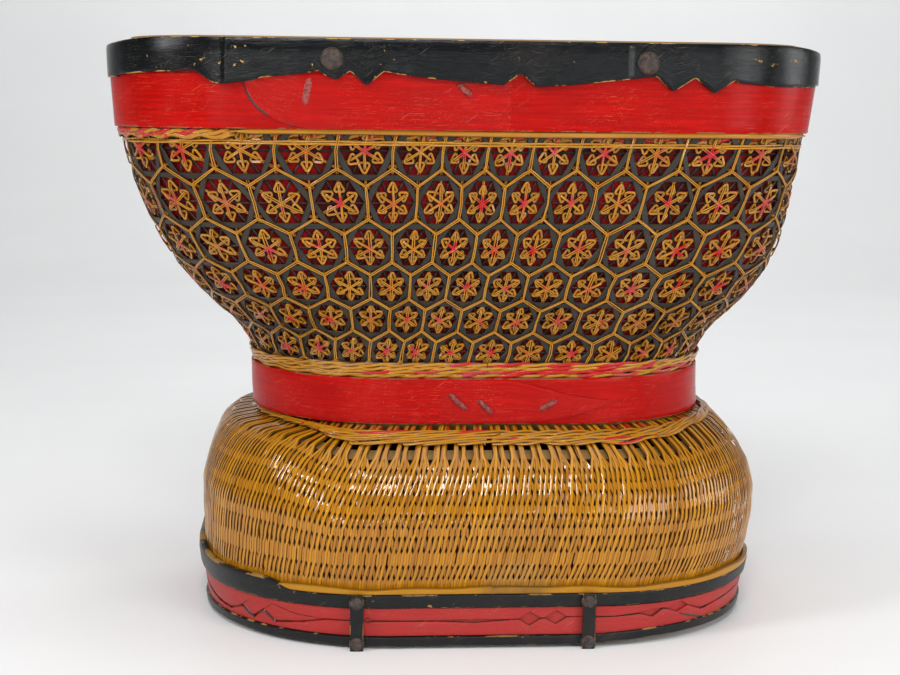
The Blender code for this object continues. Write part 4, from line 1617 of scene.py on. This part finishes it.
class BASKET_OT_floor_weave(bpy.types.Operator):
    """Weave the floor panel from flat strips, over and under"""

    bl_idname = "basket.floor_weave"
    bl_label = "Woven floor"

    strip = 0.0082
    strip_share = 0.47
    strip_thickness = 0.0006
    wave = 0.0007
    steps = 120

    def execute(self, context):
        low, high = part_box("woven_floor")
        middle = (low.z + high.z) / 2
        half_width, half_depth, corner = (
            length - belly_thickness - gap for length in belly.at(belly.run_at(middle))[:3])
        generator = np.random.default_rng(51)
        share = np.linspace(-1, 1, self.steps + 1)
        pieces = []
        for direction, (reach, other) in enumerate(((half_width, half_depth), (half_depth, half_width))):
            count = int(2 * other / self.strip)
            number = np.arange(count)
            offsets = (number - (count - 1) / 2) * self.strip
            beyond = np.clip(np.abs(offsets) - (other - corner), 0, corner)
            ends = reach - corner + np.sqrt(np.clip(corner ** 2 - beyond ** 2, 0, None)) - 0.0004
            along = ends[:, None] * share
            aside = np.broadcast_to(offsets[:, None], along.shape)
            z = middle + self.wave * np.cos(math.pi * (along / self.strip + number[:, None] + direction))
            x, y = (along, aside) if direction == 0 else (aside, along)
            points = np.stack([lean_at(low.z) + x, y, z], -1)
            normals = np.broadcast_to((0.0, 0.0, 1.0), points.shape)
            pieces.append(lay_splints(
                f"floor_{direction}", points, normals, self.strip * self.strip_share, self.strip_thickness,
                flat_section, random_tones(generator, count),
            ))
        piece = join("floor_strips", pieces)
        finish_piece(piece, "golden_splint", golden_splint_look(context), "woven_floor")
        return {"FINISHED"}


class Shader:
    """Adds nodes to one material or group and links them."""

    def __init__(self, tree):
        self.tree = tree
        self.count = 0

    def add(self, kind, inputs=(), **settings):
        node = self.tree.nodes.new(kind)
        node.location = (-180 * (self.count % 8), -220 * (self.count // 8))
        self.count += 1
        for setting, value in settings.items():
            setattr(node, setting, value)
        for socket, value in dict(inputs).items():
            self.feed(node.inputs[socket], value)
        return node

    def feed(self, socket, value):
        if isinstance(value, bpy.types.NodeSocket):
            self.tree.links.new(value, socket)
        elif hasattr(value, "__len__") and len(value) == 3 and socket.type == "RGBA":
            socket.default_value = (*value, 1.0)
        else:
            socket.default_value = value

    def math(self, operation, first, second=0.0):
        return self.add("ShaderNodeMath", {0: first, 1: second}, operation=operation).outputs[0]

    def times(self, first, second):
        return self.math("MULTIPLY", first, second)

    def plus(self, first, second):
        return self.math("ADD", first, second)

    def mix(self, share, first, second):
        node = self.add("ShaderNodeMix", data_type="RGBA")
        for socket, value in (("Factor", share), ("A", first), ("B", second)):
            self.feed(node.inputs[socket], value)
        return node.outputs["Result"]

    def ramp(self, value, low, high, out_low=0.0, out_high=1.0):
        inputs = {"Value": value, "From Min": low, "From Max": high, "To Min": out_low, "To Max": out_high}
        return self.add("ShaderNodeMapRange", inputs, interpolation_type="SMOOTHSTEP").outputs["Result"]

    def noise(self, vector, scale, detail=3.0, roughness=0.55):
        inputs = {"Scale": scale, "Detail": detail, "Roughness": roughness, "Vector": vector}
        return self.add("ShaderNodeTexNoise", inputs).outputs["Fac"]

    def stretched(self, vector, scale):
        return self.add("ShaderNodeVectorMath", {0: vector, 1: scale}, operation="MULTIPLY").outputs[0]

    def here(self):
        """The place on the piece, in metres."""
        return self.add("ShaderNodeTexCoord").outputs["Object"]

    def along(self):
        """Distance along the splint or hoop in centimetres, and share of the way across it."""
        return self.add("ShaderNodeUVMap", uv_map="along").outputs[0]

    def across(self, along):
        return self.add("ShaderNodeSeparateXYZ", {"Vector": along}).outputs["Y"]

    def attribute(self, name):
        return self.add("ShaderNodeAttribute", attribute_name=name).outputs["Fac"]

    def bump(self, height, strength, distance):
        inputs = {"Strength": strength, "Distance": distance, "Height": height}
        return self.add("ShaderNodeBump", inputs).outputs["Normal"]


def shade(colour, share, added=(0.0, 0.0, 0.0)):
    """A colour at a share of its strength, with something added to each channel."""
    return [share * channel + more for channel, more in zip(colour, added)]


def group_of(name, vectors, floats, outputs, build):
    """A group of nodes with named inputs and outputs, built once."""
    tree = bpy.data.node_groups.get(name)
    if tree:
        return tree
    tree = bpy.data.node_groups.new(name, "ShaderNodeTree")
    for in_out, kind, sockets in (
        ("INPUT", "NodeSocketVector", vectors),
        ("INPUT", "NodeSocketFloat", floats),
        ("OUTPUT", "NodeSocketFloat", outputs),
    ):
        for socket in sockets:
            tree.interface.new_socket(socket, in_out=in_out, socket_type=kind)
    shader = Shader(tree)
    source = shader.add("NodeGroupInput").outputs
    shader.add("NodeGroupOutput", build(shader, source))
    return tree


def fibre_group():
    """Grain of split bamboo along a splint: a light and dark mask, and a height."""

    def build(shader, source):
        fine = shader.noise(shader.stretched(source["Place"], (1.6, 9.0, 1.0)), 2.2, 4.0, 0.65)
        blotch = shader.noise(shader.stretched(source["Place"], (0.55, 1.4, 1.0)), 1.3)
        mask = shader.plus(shader.times(fine, 0.55), shader.times(blotch, 0.45))
        return {"Mask": shader.ramp(mask, 0.30, 0.70), "Height": fine}

    return group_of("bamboo fibre", ("Place",), (), ("Mask", "Height"), build)


def wear_group():
    """Chips and worn edges of lacquer, from a place on the hoop and the share of the way across it."""

    def build(shader, source):
        place, across, width = source["Place"], source["Across"], source["Edge Width"]
        level, spared = source["Chip Level"], source["Edge Spared"]
        patches = shader.times(shader.noise(place, 38.0), 0.35)
        chips = shader.plus(shader.noise(place, 260.0, 6.0, 0.62), patches)
        chip = shader.ramp(chips, level, shader.plus(level, 0.02))
        low_edge = shader.ramp(across, 0.0, width, 1.0, 0.0)
        high_edge = shader.ramp(across, shader.math("SUBTRACT", 1.0, width), 1.0)
        rubbed = shader.ramp(shader.noise(place, 90.0, 5.0, 0.7), spared, shader.plus(spared, 0.24))
        ragged = shader.times(shader.math("MAXIMUM", low_edge, high_edge), rubbed)
        return {"Mask": shader.math("MAXIMUM", chip, shader.ramp(ragged, 0.30, 0.42))}

    floats = ("Across", "Chip Level", "Edge Width", "Edge Spared")
    return group_of("lacquer wear", ("Place",), floats, ("Mask",), build)


def scratch_group():
    """Fine scratches and rubbed grain along a hoop: a mask, and a height of fine grooves."""

    def build(shader, source):
        place, along = source["Place"], source["Along"]
        grooves = shader.noise(shader.stretched(along, (0.55, 150.0, 1.0)), 1.0, 3.0, 0.7)
        lines = shader.noise(shader.stretched(along, (0.9, 95.0, 1.0)), 1.0, 2.0, 0.6)
        turned = shader.add(
            "ShaderNodeVectorRotate", {"Vector": place, "Angle": 0.6}, rotation_type="Y_AXIS",
        ).outputs[0]
        slant = shader.noise(shader.stretched(turned, (60.0, 60.0, 1400.0)), 1.0, 2.0, 0.6)
        specks = shader.noise(place, 1500.0, 2.0, 0.7)
        marks = shader.math("MAXIMUM", shader.ramp(slant, 0.68, 0.74), shader.ramp(specks, 0.64, 0.70))
        marks = shader.math("MAXIMUM", shader.ramp(lines, 0.62, 0.69), marks)
        patches = shader.ramp(shader.noise(place, 45.0), 0.36, 0.58)
        return {"Mask": shader.times(marks, patches), "Grooves": grooves}

    return group_of("lacquer scratches", ("Place", "Along"), (), ("Mask", "Grooves"), build)


def look_of(name, paint):
    """The material of this name, whose surface paint(shader) lays out the first time."""
    material = bpy.data.materials.get(name)
    if material:
        return material
    material = bpy.data.materials.new(name)
    material.use_nodes = True
    material.node_tree.nodes.clear()
    shader = Shader(material.node_tree)
    surface = shader.add("ShaderNodeBsdfPrincipled", paint(shader))
    shader.add("ShaderNodeOutputMaterial", {"Surface": surface.outputs[0]})
    return material


def splint_look(context, name, dark, light, aged, roughness, coat, shine, edge_shade):
    """Split bamboo: grain along it, clouds of age, specks of dirt, painted shade along both edges, dabs of
    red paint.
    """
    red = context.scene.basket_colours.red_lacquer
    soil = (0.05, 0.022, 0.008)
    # Colour of the painted shade along the splints' edges
    edge_shade_colour = (0.045, 0.018, 0.004)

    def paint(shader):
        here, along = shader.here(), shader.along()
        fibre = shader.add("ShaderNodeGroup", node_tree=fibre_group())
        shader.feed(fibre.inputs["Place"], along)
        grain, height = fibre.outputs["Mask"], fibre.outputs["Height"]
        colour = shader.mix(shader.attribute("tone"), dark, light)
        colour = shader.mix(shader.times(grain, 0.45), colour, dark)
        cloud = shader.noise(here, 26.0, 4.0)
        colour = shader.mix(shader.ramp(cloud, 0.52, 0.74, 0.0, 0.6), colour, aged)
        dirt = shader.noise(here, 420.0, 3.0, 0.7)
        colour = shader.mix(shader.ramp(dirt, 0.60, 0.80, 0.0, 0.45), colour, soil)
        from_middle = shader.math("ABSOLUTE", shader.math("SUBTRACT", shader.across(along), 0.5))
        # Painted shade: each splint is darker towards both edges, where it meets its neighbours
        colour = shader.mix(shader.ramp(from_middle, 0.26, 0.47, 0.0, edge_shade), colour, edge_shade_colour)
        worn = shader.ramp(shader.noise(here, 700.0), 0.62, 0.70, 1.0, 0.35)
        pale_red = shade(red, 0.75, (0.08, 0.030, 0.028))
        dab = shader.mix(shader.ramp(cloud, 0.40, 0.60), red, pale_red)
        colour = shader.mix(shader.times(shader.attribute("paint"), worn), colour, dab)
        return {
            "Base Color": colour,
            "Roughness": shader.ramp(height, 0.2, 0.8, roughness, roughness + 0.16),
            "Normal": shader.bump(height, 0.35, 0.0002),
            "Specular IOR Level": shine,
            "Coat Weight": coat,
            "Coat Roughness": 0.10,
        }

    return look_of(name, paint)


def golden_splint_look(context):
    colours = context.scene.basket_colours
    return splint_look(
        context, "golden splint", colours.amber, shade(colours.gold, 0.84), colours.tan,
        roughness=0.30, coat=0.35, shine=0.2, edge_shade=0.85,
    )


def belly_splint_look(context):
    colours = context.scene.basket_colours
    return splint_look(
        context, "belly splint", colours.amber, colours.gold, colours.tan,
        roughness=0.28, coat=0.80, shine=0.05, edge_shade=0.85,
    )


def black_splint_look(context):
    black = context.scene.basket_colours.black_splint
    return splint_look(
        context, "black splint", shade(black, 0.6), black, (0.050, 0.038, 0.024),
        roughness=0.36, coat=0.0, shine=0.3, edge_shade=0.3,
    )


def bamboo_look(context):
    colours = context.scene.basket_colours
    return splint_look(
        context, "bare bamboo", shade(colours.bamboo, 0.62), colours.bamboo, colours.tan,
        roughness=0.42, coat=0.05, shine=0.25, edge_shade=0.2,
    )


def worn_bamboo_look(context):
    gold = context.scene.basket_colours.gold
    return splint_look(
        context, "worn bamboo", shade(gold, 0.45), gold, (0.110, 0.060, 0.018),
        roughness=0.35, coat=0.2, shine=0.2, edge_shade=0.5,
    )


# Near black: painted shade behind the belly's slivers
def dark_weave_look(context):
    amber = context.scene.basket_colours.amber
    return splint_look(
        context, "shaded inner weave", shade(amber, 0.04), shade(amber, 0.12), shade(amber, 0.04),
        roughness=0.7, coat=0.0, shine=0.1, edge_shade=0.0,
    )


def lining_look(context):
    lining = context.scene.basket_colours.lining
    dark = shade(lining, 0.25)

    def paint(shader):
        cloud = shader.noise(shader.here(), 30.0, 4.0)
        inputs = {"Vector": shader.along(), "Scale": 4.5, "Distortion": 0.6, "Detail": 1.0}
        weave = shader.add("ShaderNodeTexWave", inputs).outputs["Fac"]
        colour = shader.mix(shader.ramp(cloud, 0.35, 0.65), dark, shade(lining, 1.25))
        return {
            "Base Color": shader.mix(shader.ramp(weave, 0.0, 0.5, 0.5, 0.0), colour, dark),
            "Roughness": shader.ramp(cloud, 0.3, 0.7, 0.42, 0.62),
            "Normal": shader.bump(weave, 0.4, 0.0004),
            "Specular IOR Level": 0.12,
        }

    return look_of("crimson lining", paint)


def lacquer_look(name, lacquer, under, scratched, roughness, chips, edge, streak, shine, coat=0.0,
                 spared=0.38):
    """Lacquer over split bamboo: dark grain streaks and pale painted sheen along the hoop, chips, scratches
    and worn edges.

    under is bared by the wear, and scratched shows in the scratches. chips is the level of the noise above
    which a chip shows, edge the share of the width that is rubbed, and spared how much of that is kept.
    """

    def paint(shader):
        here, along = shader.here(), shader.along()
        wear = shader.add("ShaderNodeGroup", node_tree=wear_group())
        for socket, value in (
            ("Place", here), ("Across", shader.across(along)), ("Chip Level", chips), ("Edge Width", edge),
            ("Edge Spared", spared),
        ):
            shader.feed(wear.inputs[socket], value)
        marks = shader.add("ShaderNodeGroup", node_tree=scratch_group())
        shader.feed(marks.inputs["Place"], here)
        shader.feed(marks.inputs["Along"], along)
        worn, grooves = wear.outputs["Mask"], marks.outputs["Grooves"]
        grain = shader.noise(shader.stretched(along, (0.25, 26.0, 1.0)), 1.0, 5.0, 0.65)
        cloud = shader.noise(here, 22.0, 4.0)
        deep = shade(lacquer, 0.48)
        # The colour of the painted sheen, pale lacquer with some of its scratch colour
        painted_sheen = shade(lacquer, 0.75, shade(scratched, 0.25))
        dusty = shade(lacquer, 0.90, (0.010, 0.005, 0.004))
        colour = shader.mix(shader.ramp(grain, 0.35, 0.62, 0.0, streak), lacquer, deep)
        # Painted sheen: pale streaks laid along the lighter grain
        colour = shader.mix(shader.ramp(grain, 0.58, 0.76, 0.0, 0.5 * streak), colour, painted_sheen)
        colour = shader.mix(shader.ramp(cloud, 0.50, 0.72, 0.0, 0.7), colour, dusty)
        colour = shader.mix(shader.times(marks.outputs["Mask"], 0.7), colour, scratched)
        rough = shader.ramp(cloud, 0.35, 0.70, roughness, roughness + 0.12)
        rough = shader.plus(rough, shader.times(grooves, 0.12))
        height = shader.math("SUBTRACT", shader.times(grain, 0.4), worn)
        height = shader.plus(height, shader.times(grooves, 0.5))
        height = shader.plus(height, shader.times(shader.noise(here, 110.0, 2.0), 2.5))
        return {
            "Base Color": shader.mix(worn, colour, under),
            "Roughness": shader.math("MAXIMUM", rough, shader.times(worn, 0.6)),
            "Normal": shader.bump(height, 0.35, 0.00025),
            "Specular IOR Level": shine,
            "Coat Weight": coat,
            "Coat Roughness": 0.12,
        }

    return look_of(name, paint)


def black_lacquer_look(context):
    colours = context.scene.basket_colours
    return lacquer_look(
        "black lacquer", colours.black_lacquer, colours.bamboo, (0.100, 0.090, 0.068),
        roughness=0.08, chips=0.86, edge=0.050, streak=0.3, shine=0.22, spared=0.44,
    )


def base_black_look(context):
    """The black lacquer low down, dustier, with its edges less worn."""
    colours = context.scene.basket_colours
    return lacquer_look(
        "dusty black lacquer", shade(colours.black_lacquer, 1.0, (0.004, 0.004, 0.004)),
        shade(colours.bamboo, 0.7), (0.085, 0.075, 0.055),
        roughness=0.24, chips=0.87, edge=0.090, streak=0.5, shine=0.25, spared=0.45,
    )


def red_lacquer_look(context):
    return lacquer_look(
        "red lacquer", context.scene.basket_colours.red_lacquer, (0.26, 0.10, 0.045), (0.56, 0.09, 0.045),
        roughness=0.18, chips=0.97, edge=0.030, streak=0.60, shine=0.09,
    )


def lapped_red_look(context):
    """The lacquer of a lapped end; where its wear shows, a dark brown, painted as shadow along the step of
    the lap.
    """
    return lacquer_look(
        "lapped red lacquer", context.scene.basket_colours.red_lacquer, (0.07, 0.020, 0.014),
        (0.56, 0.09, 0.045), roughness=0.16, chips=0.97, edge=0.075, streak=0.60, shine=0.13,
    )


def dull_red_look(context):
    dull = shade(context.scene.basket_colours.red_lacquer, 0.88, (0.03, 0.022, 0.020))
    return lacquer_look(
        "dull red lacquer", dull, (0.10, 0.025, 0.015), (0.45, 0.16, 0.12),
        roughness=0.34, chips=0.93, edge=0.060, streak=0.4, shine=0.25, coat=0.05,
    )


def crack_and_shade_look():
    """Dark glossy lacquer along cracks: partly the dark strips of the band, partly painted shade in cracks
    and holes.
    """
    return lacquer_look(
        "dark lacquer and crack shade", (0.030, 0.004, 0.003), (0.05, 0.012, 0.008), (0.16, 0.03, 0.02),
        roughness=0.12, chips=0.97, edge=0.030, streak=0.4, shine=0.5, coat=0.3,
    )


def stitch_look():
    """Red paint worn off a cord."""

    def paint(shader):
        cloud = shader.noise(shader.here(), 900.0)
        return {
            "Base Color": shader.mix(
                shader.ramp(cloud, 0.35, 0.65), (0.120, 0.008, 0.007), (0.34, 0.055, 0.045)),
            "Roughness": shader.ramp(cloud, 0.3, 0.7, 0.45, 0.7),
            "Normal": shader.bump(cloud, 0.4, 0.0002),
        }

    return look_of("painted cord", paint)


def iron_look(context):
    iron = context.scene.basket_colours.iron

    def paint(shader):
        here = shader.here()
        pits = shader.noise(here, 620.0, 5.0, 0.75)
        cloud = shader.noise(here, 380.0, 4.0)
        colour = shader.mix(shader.ramp(cloud, 0.38, 0.62), iron, shade(iron, 3.4))
        return {
            "Base Color": shader.mix(shader.ramp(pits, 0.55, 0.68), colour, (0.010, 0.006, 0.005)),
            "Metallic": shader.ramp(cloud, 0.35, 0.65, 0.0, 0.2),
            "Roughness": shader.ramp(pits, 0.3, 0.7, 0.25, 0.5),
            "Normal": shader.bump(pits, 1.0, 0.0012),
        }

    return look_of("rusty iron", paint)


def floor_look(context):
    floor = context.scene.basket_colours.floor

    def paint(shader):
        cloud = shader.noise(shader.here(), 3.0)
        return {
            "Base Color": shader.mix(shader.ramp(cloud, 0.3, 0.7), floor, shade(floor, 0.97)),
            "Roughness": shader.ramp(cloud, 0.3, 0.7, 0.55, 0.6),
        }

    return look_of("pale floor", paint)


class BASKET_OT_stage(bpy.types.Operator):
    """Set the pale floor and backdrop, the soft lamps and the camera"""

    bl_idname = "basket.stage"
    bl_label = "Stage"

    # Lamp name, place, what it looks at, side, power and colour
    lamps = (
        ("front_top", (-0.15, -1.15, 1.05), (0.0, 0.0, 0.12), 0.26, 5.5, (1.0, 0.99, 0.97)),
        ("left_window", (-1.05, -0.62, 0.68), (0.0, 0.0, 0.20), 0.3, 6.5, (0.98, 0.99, 1.0)),
        ("right_window", (0.80, -1.10, 0.42), (0.0, 0.0, 0.20), 0.6, 6.5, (0.98, 0.99, 1.0)),
        ("right_card", (0.22, -1.45, 0.31), (0.11, -0.1, 0.28), 0.19, 0.8, (0.98, 0.99, 1.0)),
        ("right_side", (1.15, -0.10, 0.36), (0.1, 0.0, 0.22), 0.45, 3.0, (0.98, 0.99, 1.0)),
        ("low_front", (-0.38, -1.35, 0.26), (-0.05, -0.1, 0.06), 0.18, 1.8, (1.0, 0.99, 0.97)),
        ("top_soft", (-0.1, -0.5, 2.0), (-0.1, -0.2, 0.0), 1.6, 14.0, (1.0, 1.0, 1.0)),
        ("back_soft", (0.50, 0.9, 1.9), (0.2, 1.9, 1.2), 1.4, 21.0, (1.0, 1.0, 1.0)),
    )
    world_colour = (0.93, 0.95, 0.97, 1.0)
    world_strength = 0.16
    floor_width = 9.0
    # The floor and backdrop from the front up, as Y and height
    floor_profile = ((-3.1, 0.0), (1.5, 0.0), (2.4, 0.0), (2.4, 3.0))
    sweep_radius = 0.8

    def execute(self, context):
        self.floor(context)
        for name, place, target, side, power, colour in self.lamps:
            lamp = bpy.data.lights.new(name, "AREA")
            lamp.shape = "SQUARE"
            lamp.size = side
            lamp.energy = power
            lamp.color = colour
            holder = bpy.data.objects.new(name, lamp)
            holder.location = place
            towards = Vector(target) - Vector(place)
            holder.rotation_euler = towards.to_track_quat("-Z", "Y").to_euler()
            context.scene.collection.objects.link(holder)
        world = bpy.data.worlds.new("studio")
        world.use_nodes = True
        background = world.node_tree.nodes["Background"]
        background.inputs["Color"].default_value = self.world_colour
        background.inputs["Strength"].default_value = self.world_strength
        context.scene.world = world
        self.camera(context)
        context.scene.view_settings.view_transform = "Standard"
        return {"FINISHED"}

    def floor(self, context):
        floor, (_, row, column) = unit_sheets("floor", 1, 1, len(self.floor_profile) - 1)
        y, z = np.array(self.floor_profile)[row].T
        write_places(floor, np.stack([self.floor_width * (column - 0.5), y, z], -1))
        turn_faces(floor, inside=True)
        apply_modifier(
            floor, "sweep", "BEVEL", width=self.sweep_radius, segments=16, limit_method="ANGLE",
            angle_limit=math.radians(60),
        )
        only(floor)
        bpy.ops.object.shade_smooth()
        floor.data.materials.append(floor_look(context))

    @staticmethod
    def camera(context):
        view = context.scene.basket_camera
        lens = bpy.data.cameras.new("camera")
        lens.lens = view.focal_length
        lens.sensor_width = 36.0
        lens.sensor_fit = "HORIZONTAL"
        holder = bpy.data.objects.new("camera", lens)
        place = Matrix.Rotation(-view.turn, 4, "Z") @ Vector((view.aside, -view.distance, view.height))
        turned = (
            Matrix.Rotation(-view.turn + view.pan, 4, "Z")
            @ Matrix.Rotation(math.pi / 2 - view.down, 4, "X")
            @ Matrix.Rotation(view.roll, 4, "Z")
        )
        holder.matrix_world = Matrix.Translation(place) @ turned
        context.scene.collection.objects.link(holder)
        context.scene.camera = holder


class BASKET_PT_panel(bpy.types.Panel):
    """Sizes, colours and the steps that build the basket"""

    bl_idname = "BASKET_PT_panel"
    bl_label = "Hourglass basket"
    bl_space_type = "VIEW_3D"
    bl_region_type = "UI"
    bl_category = "Basket"

    def draw(self, context):
        for group in (context.scene.basket_weave, context.scene.basket_colours, context.scene.basket_camera):
            for name in group.__annotations__:
                self.layout.prop(group, name)
        for operator in operators:
            self.layout.operator(operator.bl_idname)


property_groups = (
    ("basket_weave", BasketWeave), ("basket_colours", BasketColours), ("basket_camera", BasketCamera),
)
operators = (
    BASKET_OT_rim_black_hoop, BASKET_OT_red_hoops, BASKET_OT_bare_hoops, BASKET_OT_lining,
    BASKET_OT_black_lattice, BASKET_OT_petals, BASKET_OT_doubled_splints, BASKET_OT_twined_rings,
    BASKET_OT_belly, BASKET_OT_base_band, BASKET_OT_straps, BASKET_OT_nails, BASKET_OT_stitches,
    BASKET_OT_floor_weave, BASKET_OT_stage,
)


def register():
    for name, group in property_groups:
        bpy.utils.register_class(group)
        setattr(bpy.types.Scene, name, bpy.props.PointerProperty(type=group))
    for operator in operators:
        bpy.utils.register_class(operator)
    bpy.utils.register_class(BASKET_PT_panel)


def unregister():
    bpy.utils.unregister_class(BASKET_PT_panel)
    for operator in reversed(operators):
        bpy.utils.unregister_class(operator)
    for name, group in reversed(property_groups):
        delattr(bpy.types.Scene, name)
        bpy.utils.unregister_class(group)


def main():
    register()
    for operator in operators:
        group, name = operator.bl_idname.split(".")
        getattr(getattr(bpy.ops, group), name)()


if __name__ == "__main__":
    main()
